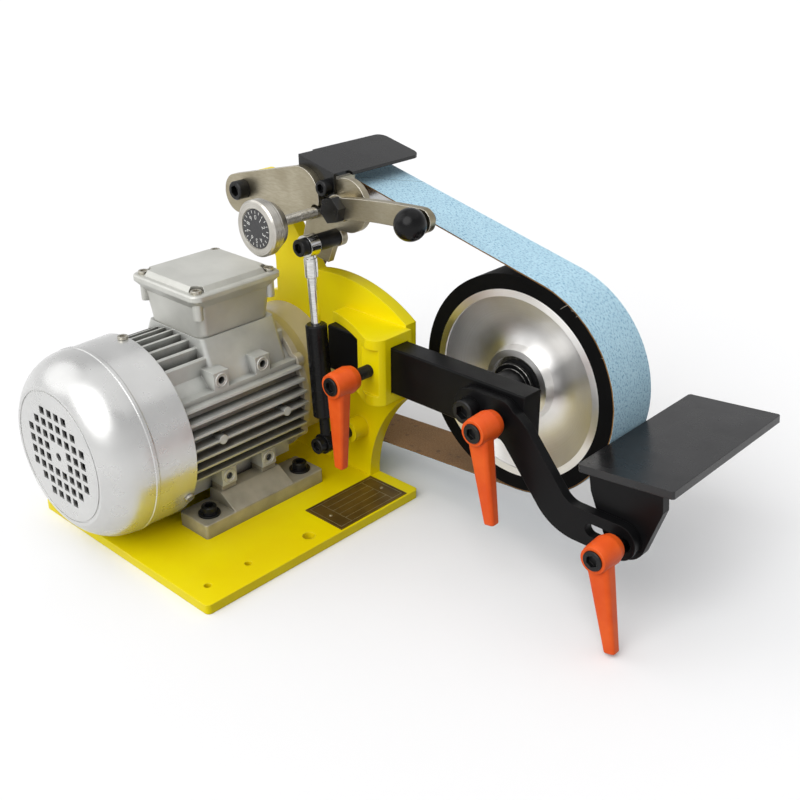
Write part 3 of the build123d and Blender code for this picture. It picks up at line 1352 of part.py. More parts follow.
bolt_hexagon = Rot(0, 0, 15) * RegularPolygon(lever_bolt_across_flats / 2, 6, major_radius=False)
lever_bolt_head = slab(at(lever_bolt_x, lever_bolt_z, bolt_hexagon), lever_near - bolt_head_height,
                       lever_near)
lever_bolt_shank = round_y(lever_bolt_x, lever_bolt_z, lever_bolt_radius, lever_near, link_plate_far + 1)
nodes["lever_bolt"] = lever_bolt_head + lever_bolt_shank

# Tracker: hinged block that carries the tracking wheel's axle
tracker = block(tracker_left, tracker_right, tracker_near, tracker_far,
                tracking_wheel_z - tracker_drop, hinge_z + tracker_rise)
hinge_bore = hinge_pin_diameter / 2 + running_gap
tracker_cuts = [round_x(hinge_y, hinge_z, hinge_bore, tracker_left - 1, tracker_right + 1)]
tracking_bearing_near = belt_near + bearing_inset
tracking_bearing_far = belt_far - bearing_inset
tracker_spacer = round_y(tracking_wheel_x, tracking_wheel_z, tracking_bearing_bore / 2 + tracking_spacer_wall,
                         tracker_far, tracking_bearing_near - moving_gap)
axle_bolt_hole = round_y(tracking_wheel_x, tracking_wheel_z, tracking_bearing_bore / 2 + assembly_gap,
                         tracker_near + 3, tracking_bearing_near)
nodes["tracking_block"] = tracker + tracker_spacer - tracker_cuts - axle_bolt_hole
pin_reach = moving_gap + hinge_ear_width
nodes["hinge_pin"] = round_x(hinge_y, hinge_z, hinge_pin_diameter / 2, tracker_left - pin_reach,
                             tracker_right + pin_reach)
tracking_axle_length = tracking_bearing_far + moving_gap - tracker_near - tracking_axle_head
tracking_axle = socket_screw(tracking_bearing_bore, tracking_axle_length,
                             tracking_bearing_bore * cap_head_ratio, tracking_axle_head)
nodes["tracking_axle"] = placed(tracking_axle, tracking_wheel_x, tracking_bearing_far + moving_gap,
                                tracking_wheel_z, (0, 1, 0))
crown = 0.5
wheel_middle = (belt_near + belt_far) / 2
tracking_bore = tracking_bearing_outer / 2 + assembly_gap
nodes["tracking_wheel"] = Pos(tracking_wheel_x, 0, tracking_wheel_z) * revolve(make_face([
    Line((tracking_bore, belt_near), (tracking_wheel_radius - crown, belt_near)),
    ThreePointArc((tracking_wheel_radius - crown, belt_near), (tracking_wheel_radius, wheel_middle),
                  (tracking_wheel_radius - crown, belt_far)),
    Line((tracking_wheel_radius - crown, belt_far), (tracking_bore, belt_far)),
    Line((tracking_bore, belt_far), (tracking_bore, belt_near)),
]), Axis.Y)
nodes["tracking_bearings"] = [
    bearing(tracking_bearing_bore, tracking_bearing_outer, tracking_bearing_width, tracking_wheel_x,
            tracking_wheel_z, near)
    for near in (tracking_bearing_near, tracking_bearing_far - tracking_bearing_width)
]

# Tracking screw, its lock nut and the turned knob with a dial
knob_near = arm_plate_near - knob_reach
knob_far = knob_near + knob_length
screw_tip = tracker_near - screw_tip_gap
dial_radius = knob_radius * dial_ratio
dial_sink = 1.0
screw_grip = 12.0
nodes["tracking_screw"] = round_y(tracking_screw_x, tracking_screw_z, tracking_screw_diameter / 2,
                                  knob_far - screw_grip, screw_tip)
nodes["knob_locknut"] = turned([
    (tracking_screw_diameter / 2 + assembly_gap, knob_far + moving_gap),
    (locknut_radius, knob_far + moving_gap),
    (locknut_radius, knob_far + moving_gap + locknut_length),
    (tracking_screw_diameter / 2 + assembly_gap, knob_far + moving_gap + locknut_length),
], tracking_screw_x, tracking_screw_z)
nodes["tracking_knob"] = turned([
    (0, knob_near + dial_sink),
    (dial_radius, knob_near + dial_sink),
    (dial_radius, knob_near),
    (knob_radius - knob_step, knob_near),
    (knob_radius, knob_near + knob_step),
    (knob_radius, knob_near + knob_grip_length),
    (knob_radius - knob_step, knob_near + knob_grip_length + knob_step),
    (knob_radius - knob_step, knob_far - knob_back_taper),
    (knob_radius - knob_back_inset, knob_far),
    (tracking_screw_diameter / 2 + running_gap, knob_far),
    (tracking_screw_diameter / 2 + running_gap, knob_far - screw_grip - 1),
    (0, knob_far - screw_grip - 1),
], tracking_screw_x, tracking_screw_z)

# Gas strut between the upright and the link plate
strut_span_x = strut_upper_x - strut_lower_x
strut_span_z = strut_upper_z - strut_lower_z
strut_length = math.hypot(strut_span_x, strut_span_z)
strut_angle = math.degrees(math.atan2(strut_span_x, strut_span_z))
strut_place = Pos(strut_lower_x, strut_y, strut_lower_z) * Rot(0, strut_angle, 0)
eye_half = strut_eye_thickness / 2
pin_radius = strut_pin_diameter / 2
rod_radius = strut_rod_diameter / 2
tube_radius = strut_tube_diameter / 2
tube_end = strut_tube_start + strut_tube_length
lower_eye = round_y(0, 0, strut_eye_radius, -eye_half, eye_half)
lower_neck = round_z(0, 0, eye_half - 0.5, strut_eye_radius - 2, strut_tube_start + 4)
tube = round_z(0, 0, tube_radius, strut_tube_start, tube_end)
tube = chamfer(tube.edges(), 1.2)
lower_bore = round_y(0, 0, pin_radius + running_gap, -eye_half - 1, eye_half + 1)
rod_inside = strut_stroke + 12
tube_bore = round_z(0, 0, rod_radius + running_gap, tube_end - rod_inside - strut_stroke, tube_end + 1)
nodes["strut_cylinder"] = strut_place * (lower_eye + lower_neck + tube - lower_bore - tube_bore)
upper_eye = round_y(0, 0, strut_eye_radius, -eye_half, eye_half)
upper_neck = round_z(0, 0, eye_half - 0.5, -strut_eye_radius - 3, -strut_eye_radius + 2)
upper_sleeve = round_z(0, 0, rod_radius + 1.4, -strut_sleeve_length, -strut_eye_radius - 1.5)
upper_bore = round_y(0, 0, pin_radius + strut_eye_play, -eye_half - 1, eye_half + 1)
rod = round_z(0, 0, rod_radius, tube_end - rod_inside - strut_length, -strut_eye_radius)
rod_end = upper_eye + upper_neck + upper_sleeve + rod - upper_bore
nodes["strut_rod"] = strut_place * Pos(0, 0, strut_length) * rod_end
pin_head = socket_screw(strut_pin_diameter, 1, strut_pin_diameter * 0.88, strut_pin_diameter * 0.8)
pin_front = strut_y - eye_half - moving_gap
upper_spacer = round_y(strut_upper_x, strut_upper_z, strut_pin_diameter - 1,
                       strut_y + eye_half + moving_gap, guard_far)
nodes["strut_upper_pin"] = (
    placed(pin_head, strut_upper_x, pin_front, strut_upper_z, (0, -1, 0))
    + round_y(strut_upper_x, strut_upper_z, pin_radius, pin_front, link_plate_far)
    + upper_spacer
)
lower_collar = round_y(strut_lower_x, strut_lower_z, pin_radius + 1.5, strut_y + eye_half + moving_gap,
                       upright_near - strut_boss_height)
nodes["strut_lower_pin"] = (
    placed(pin_head, strut_lower_x, pin_front, strut_lower_z, (0, -1, 0))
    + round_y(strut_lower_x, strut_lower_z, pin_radius, pin_front, upright_far - 1)
    + lower_collar
)

os.makedirs("parts", exist_ok=True)
for name, shape in nodes.items():
    solid = Compound(children=shape) if isinstance(shape, list) else shape
    export_step(solid, "parts/" + name + ".step")
print(len(nodes), "nodes")
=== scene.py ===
import json
import math
import random

import bmesh
import bpy
from mathutils import Matrix, Quaternion, Vector


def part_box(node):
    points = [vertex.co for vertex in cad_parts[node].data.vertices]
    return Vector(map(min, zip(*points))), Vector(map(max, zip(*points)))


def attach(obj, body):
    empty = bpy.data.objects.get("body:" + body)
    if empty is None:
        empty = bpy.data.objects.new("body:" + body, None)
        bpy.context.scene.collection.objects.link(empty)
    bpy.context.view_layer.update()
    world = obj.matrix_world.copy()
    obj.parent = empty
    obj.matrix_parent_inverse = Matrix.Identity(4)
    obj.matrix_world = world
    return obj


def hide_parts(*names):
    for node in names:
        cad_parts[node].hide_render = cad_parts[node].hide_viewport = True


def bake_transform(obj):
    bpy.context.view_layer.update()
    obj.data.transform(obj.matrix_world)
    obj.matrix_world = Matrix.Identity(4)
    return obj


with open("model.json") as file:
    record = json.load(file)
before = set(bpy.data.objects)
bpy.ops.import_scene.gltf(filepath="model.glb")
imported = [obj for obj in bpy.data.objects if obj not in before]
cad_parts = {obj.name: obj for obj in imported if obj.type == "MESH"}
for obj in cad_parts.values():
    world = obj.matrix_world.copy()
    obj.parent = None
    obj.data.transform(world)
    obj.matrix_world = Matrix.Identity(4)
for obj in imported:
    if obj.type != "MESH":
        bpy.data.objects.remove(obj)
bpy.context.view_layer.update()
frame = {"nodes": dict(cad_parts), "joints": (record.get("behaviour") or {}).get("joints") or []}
nodes = frame["nodes"]
pivots = {joint["name"]: Vector(joint["pos_m"]) for joint in frame["joints"] if "pos_m" in joint}


# Base plate and upright: a sawn steel plate with the cast upright welded along its far edge.
# Both are sprayed in one coat of yellow enamel with a fine orange peel, rubbed paler on the corners.
def tint(red, green, blue):
    """A colour as seen on a screen, 0 to 255, in the linear values that a shader takes."""
    def linear(value):
        value = value / 255
        return value / 12.92 if value <= 0.04045 else ((value + 0.055) / 1.055) ** 2.4

    return (linear(red), linear(green), linear(blue), 1.0)


def add(tree, kind, inputs=None, **settings):
    """A node with its settings, its values and its links."""
    made = tree.nodes.new(kind)
    for setting, value in settings.items():
        setattr(made, setting, value)
    for socket, value in (inputs or {}).items():
        if isinstance(value, bpy.types.NodeSocket):
            tree.links.new(value, made.inputs[socket])
        else:
            made.inputs[socket].default_value = value
    return made


def new_finish(name, **sockets):
    """A material with its tree, its shader and the piece's own coordinates."""
    finish = bpy.data.materials.new(name)
    finish.use_nodes = True
    tree = finish.node_tree
    shader = tree.nodes["Principled BSDF"]
    for socket, value in sockets.items():
        shader.inputs[socket.replace("_", " ")].default_value = value
    place = add(tree, "ShaderNodeTexCoord").outputs["Object"]
    return finish, tree, shader, place


def grain(tree, place, scale, detail=2.0, stretch=(1, 1, 1)):
    """Cloudy noise whose spots are about 1 / scale metres across."""
    stretched = add(tree, "ShaderNodeMapping", {"Vector": place, "Scale": stretch})
    spots = add(tree, "ShaderNodeTexNoise", {"Vector": stretched.outputs[0], "Scale": scale,
                                             "Detail": detail})
    return spots.outputs[0]


def spread(tree, value, low, high, new_low, new_high):
    """A value from one range brought to another, and kept inside it."""
    ranged = add(tree, "ShaderNodeMapRange", {"Value": value, "From Min": low, "From Max": high,
                                              "To Min": new_low, "To Max": new_high})
    return ranged.outputs[0]


def product(tree, first, second):
    return add(tree, "ShaderNodeMath", {0: first, 1: second}, operation="MULTIPLY").outputs[0]


def shades(tree, amount, low, high):
    """A colour between two others, by an amount from 0 to 1."""
    return add(tree, "ShaderNodeMix", {0: amount, 6: low, 7: high}, data_type="RGBA").outputs[2]


ray_samples = 6


def soft_normal(tree, radius):
    """The normal as it is where each corner is rounded to a radius."""
    return add(tree, "ShaderNodeBevel", {"Radius": radius}, samples=ray_samples).outputs[0]


def corner_share(tree, rounded):
    """How near a corner a point is, from 0 to 1."""
    facing = add(tree, "ShaderNodeNewGeometry").outputs["Normal"]
    agree = add(tree, "ShaderNodeVectorMath", {0: rounded, 1: facing}, operation="DOT_PRODUCT")
    return spread(tree, agree.outputs["Value"], 0.97, 0.8, 0.0, 1.0)


def relief(tree, shader, height, depth, normal):
    """Fine bumps of a depth in metres on a normal."""
    bumped = add(tree, "ShaderNodeBump", {"Height": height, "Distance": depth, "Normal": normal})
    tree.links.new(bumped.outputs[0], shader.inputs["Normal"])


def coat(name, colour, deep, wear_and_glint, roughness, patch=14.0, peel=900.0, peel_depth=0.00006,
         corner=0.0008, recess=0.0, recess_shade=None, **sockets):
    """A sprayed or cast skin: cloudy colour, fine peel, paler corners (rubbed wear on most skins, a painted
    highlight of glints on the axle), and painted shade darkening deep recesses.
    """
    finish, tree, shader, place = new_finish(name, **sockets)
    clouds = spread(tree, grain(tree, place, patch, 3.0), 0.36, 0.66, 0.0, 1.0)
    rounded = soft_normal(tree, corner)
    edge = corner_share(tree, rounded)
    rubbed_and_glint = product(tree, edge, spread(tree, grain(tree, place, 180.0, 3.0), 0.4, 0.62, 0.15, 0.85))
    skin = shades(tree, clouds, colour, deep)
    if recess:
        # Painted shade: where ambient occlusion finds a deep recess, such as a fin gap, the skin is darkened
        # towards the shade colour.
        clear = add(tree, "ShaderNodeAmbientOcclusion", {"Distance": recess}, samples=ray_samples)
        skin = shades(tree, spread(tree, clear.outputs["AO"], 0.2, 0.8, 1.0, 0.0), skin, recess_shade)
    tree.links.new(shades(tree, rubbed_and_glint, skin, wear_and_glint), shader.inputs["Base Color"])
    gloss = spread(tree, grain(tree, place, 55.0, 3.0), 0.3, 0.7, roughness - 0.05, roughness + 0.07)
    tree.links.new(gloss, shader.inputs["Roughness"])
    relief(tree, shader, grain(tree, place, peel, 1.0), peel_depth, rounded)
    return finish


def dress(finish, *names):
    """Gives a finish to pieces of the frame."""
    for name in names:
        nodes[name].data.materials.clear()
        nodes[name].data.materials.append(finish)


yellow_enamel = coat("yellow_enamel", tint(244, 226, 3), tint(238, 214, 2), tint(250, 238, 84), 0.33,
                     Specular_IOR_Level=0.22)
dress(yellow_enamel, "base_plate", "upright_frame")


# Nameplate: a thin bronzed sheet with an etched border and empty ruled fields, held down on the base
# plate by two drive pins.
plate_low, plate_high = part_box("nameplate")
nameplate_bronze = coat("nameplate_bronze", tint(118, 94, 46), tint(96, 74, 36), tint(164, 142, 94), 0.34,
                        patch=60.0, peel=2400.0, peel_depth=0.00002, corner=0.0004, Metallic=0.55)
dress(nameplate_bronze, "nameplate")


def linked(name, data):
    """An object at the origin that is in the scene."""
    made = bpy.data.objects.new(name, data)
    bpy.context.scene.collection.objects.link(made)
    return made


def finished(name, built, finish, body):
    """Makes a mesh a piece with a finish that rides on a body."""
    bmesh.ops.recalc_face_normals(built, faces=built.faces)
    mesh = bpy.data.meshes.new(name)
    built.to_mesh(mesh)
    built.free()
    mesh.materials.append(finish)
    piece = linked(name, mesh)
    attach(piece, body)


def bar_between(built, low, high):
    """A small block between two corners."""
    low, high = Vector(low), Vector(high)
    size = Matrix.Diagonal((high - low).to_4d())
    size[3][3] = 1.0
    bmesh.ops.create_cube(built, size=1.0, matrix=Matrix.Translation((low + high) / 2) @ size)


etched_metal = coat("etched_metal", tint(176, 164, 132), tint(150, 138, 108), tint(206, 196, 168), 0.36,
                    patch=120.0, peel=2600.0, peel_depth=0.00001, corner=0.0002, Metallic=0.8)
rule = 0.0005
margin = 0.0028
rows = 5
end_field = 0.012
rule_sunk = 0.0001
border_rise, row_rise, line_rise = 0.00012, 0.00008, 0.0001
plate_top = plate_high.z
rule_low = plate_top - rule_sunk
left, right = plate_low.x + margin, plate_high.x - margin
near, far = plate_low.y + margin, plate_high.y - margin
rules = bmesh.new()
for x in (left, right - rule):
    bar_between(rules, (x, near, rule_low), (x + rule, far, plate_top + border_rise))
for row in range(rows + 1):
    x = left + (right - left - rule) * row / rows
    bar_between(rules, (x, near + end_field, rule_low), (x + rule, far - end_field, plate_top + row_rise))
for y in (near, near + end_field, far - end_field, far - rule):
    bar_between(rules, (left, y, rule_low), (right, y + rule, plate_top + line_rise))
finished("nameplate_rules", rules, etched_metal, "frame")
pins = bmesh.new()
pin_inset = 0.006
pin_radius = 0.0016
pin_flatness = 0.45
for y in (near + pin_inset, far - pin_inset):
    seat = Matrix.Translation(((left + right) / 2, y, plate_top)) @ Matrix.Diagonal((1, 1, pin_flatness, 1))
    bmesh.ops.create_uvsphere(pins, u_segments=20, v_segments=10, radius=pin_radius, matrix=seat)
finished("nameplate_pins", pins, etched_metal, "frame")


# Motor housing: a finned aluminium barrel on two feet, with a round shield at each end, all sand cast,
# blasted and sprayed thinly in grey. The drive end shield and its flange screws are bare and warmer.
# The barrel and fan end shield get painted shade, darker in the fin gaps and other deep recesses.
cast_grey = coat("cast_grey", tint(212, 213, 208), tint(196, 197, 192), tint(228, 228, 224), 0.4,
                 patch=36.0, peel=1500.0, peel_depth=0.0001, corner=0.0007, recess=0.011,
                 recess_shade=tint(68, 66, 60), Metallic=0.35)
dress(cast_grey, "motor_frame", "fan_end_shield")
# The feet also get painted shade in their deep recesses.
foot_grey = coat("foot_grey", tint(184, 178, 160), tint(160, 155, 138), tint(206, 201, 186), 0.46,
                 patch=50.0, peel=1300.0, peel_depth=0.00014, corner=0.0009, recess=0.012,
                 recess_shade=tint(104, 98, 80), Metallic=0.35)
dress(foot_grey, "motor_feet")
shield_cast = coat("shield_cast", tint(206, 198, 180), tint(184, 176, 158), tint(222, 216, 204), 0.42,
                   patch=30.0, peel=1400.0, peel_depth=0.0001, corner=0.0008, Metallic=0.3)
dress(shield_cast, "drive_end_shield")


# Boss faces: the tapped bosses on the barrel are cast with a raised ring round each hole, which is
# faced bright. Geometry Nodes sets one ring at each hole.
def input_id(tree, name):
    """The identifier of a tree's input, by which a modifier sets it."""
    return next(item.identifier for item in tree.interface.items_tree
                if item.item_type == "SOCKET" and item.in_out == "INPUT" and item.name == name)


def tree_with(name, *inputs):
    """A geometry tree with named inputs; returns it with its ends."""
    tree = bpy.data.node_groups.new(name, "GeometryNodeTree")
    tree.interface.new_socket("Geometry", in_out="INPUT", socket_type="NodeSocketGeometry")
    for label, kind in inputs:
        tree.interface.new_socket(label, in_out="INPUT", socket_type="NodeSocket" + kind)
    tree.interface.new_socket("Geometry", in_out="OUTPUT", socket_type="NodeSocketGeometry")
    return tree, add(tree, "NodeGroupInput"), add(tree, "NodeGroupOutput")


def grown(name, tree, start, values, body):
    """Runs a tree on a starting mesh and keeps the result as a plain mesh that rides on a body."""
    seed = linked(name + "_start", start)
    growth = seed.modifiers.new("growth", "NODES")
    growth.node_group = tree
    for label, value in values.items():
        growth[input_id(tree, label)] = value
    seen = seed.evaluated_get(bpy.context.evaluated_depsgraph_get())
    mesh = bpy.data.meshes.new_from_object(seen)
    seed.modifiers.remove(growth)
    bpy.data.objects.remove(seed)
    mesh.name = name
    piece = linked(name, mesh)
    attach(piece, body)


def points_mesh(name, places, directions):
    """Loose points, each with the direction that a copy set on it takes."""
    mesh = bpy.data.meshes.new(name)
    mesh.from_pydata([tuple(place) for place in places], [], [])
    aim = mesh.attributes.new("aim", "FLOAT_VECTOR", "POINT")
    for index, direction in enumerate(directions):
        aim.data[index].vector = direction
    return mesh


def end_tree(tree, start, end, geometry):
    """Makes all copies real, gives them the tree's finish and sends them out."""
    real = add(tree, "GeometryNodeRealizeInstances", {0: geometry})
    coated = add(tree, "GeometryNodeSetMaterial", {0: real.outputs[0], "Material": start.outputs["Finish"]})
    tree.links.new(coated.outputs[0], end.inputs[0])


def end_on_points(tree, start, end, form, turn):
    """Sets a turned copy of a form on each starting point and ends the tree."""
    copies = add(tree, "GeometryNodeInstanceOnPoints", {"Points": start.outputs["Geometry"],
                                                        "Instance": form, "Rotation": turn})
    end_tree(tree, start, end, copies.outputs[0])


ring_tree, ring_in, ring_out = tree_with("spot_faces", ("Radius", "Float"), ("Band", "Float"),
                                         ("Finish", "Material"))
ring_line = add(ring_tree, "GeometryNodeCurvePrimitiveCircle", {"Radius": ring_in.outputs["Radius"],
                                                                "Resolution": 28})
ring_bead = add(ring_tree, "GeometryNodeCurvePrimitiveCircle", {"Radius": ring_in.outputs["Band"],
                                                                "Resolution": 6})
ring_mesh = add(ring_tree, "GeometryNodeCurveToMesh", {0: ring_line.outputs[0],
                                                       1: ring_bead.outputs[0]})
ring_aim = add(ring_tree, "GeometryNodeInputNamedAttribute", {"Name": "aim"}, data_type="FLOAT_VECTOR")
ring_turn = add(ring_tree, "FunctionNodeAlignRotationToVector", {"Vector": ring_aim.outputs[0]}, axis="Z")
end_on_points(ring_tree, ring_in, ring_out, ring_mesh.outputs[0], ring_turn.outputs[0])
motor_axis = pivots["drive_spin"]
boss_reach = 0.0585
boss_rise = 0.044
boss_pitch = 0.043
boss_ring_radius = 0.0056
boss_ring_band = 0.0008
foot_screw_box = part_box("foot_screws")
boss_middle = (foot_screw_box[0].y + foot_screw_box[1].y) / 2
boss_places, boss_aims = [], []
for side in (-1, 1):
    for end in (-1, 1):
        for rise in (boss_rise, -boss_rise):
            boss_places.append(Vector((motor_axis.x + side * boss_reach, boss_middle + end * boss_pitch / 2,
                                       motor_axis.z + rise)))
            boss_aims.append(Vector((side, 0, 0)))
boss_bright = coat("boss_bright", tint(222, 221, 216), tint(204, 203, 198), tint(234, 234, 230), 0.38,
                   patch=200.0, peel=2400.0, peel_depth=0.00002, corner=0.0002, Metallic=0.35)
grown("boss_faces", ring_tree, points_mesh("boss_points", boss_places, boss_aims),
      {"Radius": boss_ring_radius, "Band": boss_ring_band, "Finish": boss_bright}, "frame")


# Fixing screws: zinc plated screws in the lid, the fan cover and the flange, and black oxidised socket
# screws and pins wherever a part has to be taken off or set. All are cold headed, with rolled threads.
zinc_plate = coat("zinc_plate", tint(196, 192, 180), tint(168, 163, 150), tint(226, 224, 216), 0.3,
                  patch=240.0, peel=3000.0, peel_depth=0.00002, corner=0.0003, Metallic=0.9)
dress(zinc_plate, "lid_screws", "cover_screws", "flange_screws")
black_oxide = coat("black_oxide", tint(30, 30, 31), tint(20, 20, 21), tint(84, 83, 80), 0.36,
                   patch=180.0, peel=2600.0, peel_depth=0.00002, corner=0.0004, Metallic=0.5)
dress(black_oxide, "foot_screws", "foot_bolts", "drive_wheel_bolt", "axle_screws", "arm_pivot_bolt",
      "plate_screws", "strut_upper_pin", "strut_lower_pin", "arm_clamp_stud", "rest_clamp_stud",
      "table_clamp_stud")


# Fan cover: deep drawn sheet with a punched grille and a rolled bead, sprayed with silver lacquer
# whose flakes sparkle a little, and held to the fan end shield by three small screws.
silver_lacquer = coat("silver_lacquer", tint(218, 218, 216), tint(210, 210, 208), tint(238, 238, 236), 0.29,
                      patch=22.0, peel=2800.0, peel_depth=0.00001, corner=0.0006, Metallic=0.7)
dress(silver_lacquer, "fan_cover")


# Motor inside: stamped core sheets with a varnished copper winding, and a rotor on a ground shaft with
# its bearings, key and moulded fan. They show through the grille and where the motor is opened.
def banded(name, colour, dark, roughness, along, scale, depth, **sockets):
    """Fine straight marks across one direction, as stacked sheets or wound wire have."""
    finish, tree, shader, place = new_finish(name, **sockets)
    streaks = grain(tree, place, scale, 2.0, along)
    marks = spread(tree, streaks, 0.38, 0.62, 0.0, 1.0)
    rounded = soft_normal(tree, 0.0005)
    tree.links.new(shades(tree, marks, dark, colour), shader.inputs["Base Color"])
    tree.links.new(spread(tree, streaks, 0.3, 0.7, roughness + 0.08, roughness - 0.06),
                   shader.inputs["Roughness"])
    relief(tree, shader, streaks, depth, rounded)
    return finish


core_sheets = banded("core_sheets", tint(120, 122, 126), tint(78, 80, 84), 0.42, (0.02, 1, 0.02), 1900.0,
                     0.0001, Metallic=0.85)
dress(core_sheets, "stator_core", "rotor_core")
varnished_copper = banded("varnished_copper", tint(188, 104, 52), tint(110, 52, 24), 0.3, (1, 0.15, 1),
                          900.0, 0.0004, Metallic=0.6, Coat_Weight=0.5)
dress(varnished_copper, "stator_winding")
fan_plastic = coat("fan_plastic", tint(44, 46, 50), tint(34, 36, 40), tint(74, 76, 80), 0.5, patch=60.0,
                   peel=1800.0, peel_depth=0.00004, corner=0.0005)
dress(fan_plastic, "cooling_fan")


# Shaft, key and motor bearings: ground steel with fine rings round the motor's axis. The same finish
# is used further down for all that is turned on a lathe: wheels, roller and knob.
def round_axis(tree, place, axis):
    """A place seen from a Y axis: as it is, across the axis alone, and its distance from the axis."""
    centred = add(tree, "ShaderNodeMapping", {"Vector": place, "Location": (-axis.x, 0.0, -axis.z)})
    across = add(tree, "ShaderNodeVectorMath", {0: centred.outputs[0], 1: (1.0, 0.0, 1.0)},
                 operation="MULTIPLY")
    distance = add(tree, "ShaderNodeVectorMath", {0: across.outputs[0]}, operation="LENGTH")
    return centred.outputs[0], across.outputs[0], distance.outputs["Value"]


def turned_metal(name, colour, dark, roughness, axis, ring=2600.0, depth=0.00002, patch=45.0,
                 corner=0.0005, **sockets):
    """Bright metal turned about a Y axis: rings and sheen round the axis, and soft patches."""
    finish, tree, shader, place = new_finish(name, Metallic=1.0, **sockets)
    centred, across, distance = round_axis(tree, place, axis)
    along = add(tree, "ShaderNodeSeparateXYZ", {0: centred}).outputs["Y"]
    where = add(tree, "ShaderNodeMath", {0: distance, 1: along}, operation="ADD").outputs[0]
    rings = add(tree, "ShaderNodeTexNoise", {"W": where, "Scale": ring, "Detail": 3.0},
                noise_dimensions="1D").outputs[0]
    clouds = spread(tree, grain(tree, place, patch, 4.0), 0.35, 0.68, 0.0, 0.7)
    rounded = soft_normal(tree, corner)
    sideways = add(tree, "ShaderNodeVectorMath", {0: across, 1: (0.0, 1.0, 0.0)},
                   operation="CROSS_PRODUCT")
    marked = add(tree, "ShaderNodeVectorTransform", {0: sideways.outputs[0]}, vector_type="VECTOR",
                 convert_from="OBJECT", convert_to="WORLD")
    tree.links.new(marked.outputs[0], shader.inputs["Tangent"])
    lines = shades(tree, spread(tree, rings, 0.3, 0.7, 0.0, 0.55), colour, dark)
    tree.links.new(shades(tree, clouds, lines, dark), shader.inputs["Base Color"])
    tree.links.new(spread(tree, rings, 0.3, 0.7, roughness - 0.06, roughness + 0.1),
                   shader.inputs["Roughness"])
    relief(tree, shader, rings, depth, rounded)
    return finish


ground_shaft = turned_metal("ground_shaft", tint(206, 206, 204), tint(160, 160, 158), 0.2, motor_axis)
dress(ground_shaft, "motor_shaft", "shaft_key")
motor_rings = turned_metal("motor_rings", tint(186, 188, 190), tint(120, 122, 124), 0.24, motor_axis)
dress(motor_rings, "motor_bearings")


# Terminal box: a cast aluminium box and lid on the barrel's saddle, finer cast than the barrel and
# sprayed in the same thin grey, with a zinc screw in each corner of the lid.
# The box and lid get painted shade, darker in their deep recesses.
box_grey = coat("box_grey", tint(214, 214, 207), tint(201, 201, 194), tint(226, 226, 221), 0.4,
                patch=30.0, peel=1700.0, peel_depth=0.00008, corner=0.0009, recess=0.012,
                recess_shade=tint(112, 108, 96), Metallic=0.4)
dress(box_grey, "terminal_box", "terminal_lid")


# Drive wheel: turned from an aluminium bar, keyed to the motor's shaft and held on it by a washer and
# an end bolt. Its rim is plain, because the crowned tracking wheel keeps the belt in place.
drive_turned = turned_metal("drive_turned", tint(208, 208, 206), tint(150, 150, 149), 0.28, motor_axis)
dress(drive_turned, "drive_wheel")


# Tool arm and work rest: black oxidised flat steel, sawn and drilled. The bar slides in the upright,
# the cranked arm hangs from the wheel's axle, and the table is a flat plate on a tapered bracket.
black_steel = coat("black_steel", tint(17, 17, 18), tint(12, 12, 13), tint(46, 45, 44), 0.33, patch=26.0,
                   peel=1400.0, peel_depth=0.00004, corner=0.0007, Specular_IOR_Level=0.13)
dress(black_steel, "tool_arm_bar", "rest_arm", "table_bracket")
table_black = coat("table_black", tint(32, 32, 33), tint(24, 24, 25), tint(60, 59, 58), 0.28, patch=26.0,
                   peel=1400.0, peel_depth=0.00003, corner=0.0007)
dress(table_black, "table_plate")


# Contact wheel: a spun and polished aluminium hub with a moulded black rubber tyre, on two shielded
# bearings and a black axle, whose flanged collar is drawn against the bar by a long screw.
wheel_axis = pivots["contact_spin"]
polished_hub = turned_metal("polished_hub", tint(248, 247, 245), tint(232, 230, 226), 0.36, wheel_axis,
                            ring=2400.0, depth=0.000008, patch=40.0, Anisotropic=0.85,
                            Anisotropic_Rotation=0.25)
dress(polished_hub, "contact_hub")


def sealed_rings(name, axis, inner_race, outer_race):
    """A shielded bearing: two ground steel races with a dark shield between them."""
    finish, tree, shader, place = new_finish(name, Roughness=0.3)
    distance = round_axis(tree, place, axis)[2]
    lip = 0.0003
    shield = product(tree, spread(tree, distance, inner_race, inner_race + lip, 0.0, 1.0),
                     spread(tree, distance, outer_race - lip, outer_race, 1.0, 0.0))
    mottled = spread(tree, grain(tree, place, 500.0, 2.0), 0.35, 0.65, 0.0, 1.0)
    race = shades(tree, mottled, tint(196, 194, 188), tint(160, 158, 152))
    cover = shades(tree, mottled, tint(30, 30, 31), tint(40, 40, 41))
    tree.links.new(shades(tree, shield, race, cover), shader.inputs["Base Color"])
    tree.links.new(spread(tree, shield, 0.0, 1.0, 1.0, 0.0), shader.inputs["Metallic"])
    rounded = soft_normal(tree, 0.0004)
    relief(tree, shader, grain(tree, place, 2400.0, 1.0), 0.000006, rounded)
    return finish


wheel_inner_race, wheel_outer_race = 0.0120, 0.0203
wheel_rings = sealed_rings("wheel_rings", wheel_axis, wheel_inner_race, wheel_outer_race)
dress(wheel_rings, "contact_bearings")
# Painted highlight: the axle's near-white corner colour stands for glints on the chamfered edges of its black
# collar.
axle_black = coat("axle_black", tint(40, 40, 41), tint(30, 30, 31), tint(212, 210, 204), 0.3, patch=180.0,
                  peel=2600.0, peel_depth=0.00002, corner=0.0012, Metallic=0.8)
dress(axle_black, "contact_axle")
tyre_rubber = coat("tyre_rubber", tint(13, 13, 13), tint(10, 10, 10), tint(32, 32, 31), 0.62, patch=40.0,
                   peel=2200.0, peel_depth=0.00008, corner=0.0008, Specular_IOR_Level=0.06)
dress(tyre_rubber, "contact_tyre")


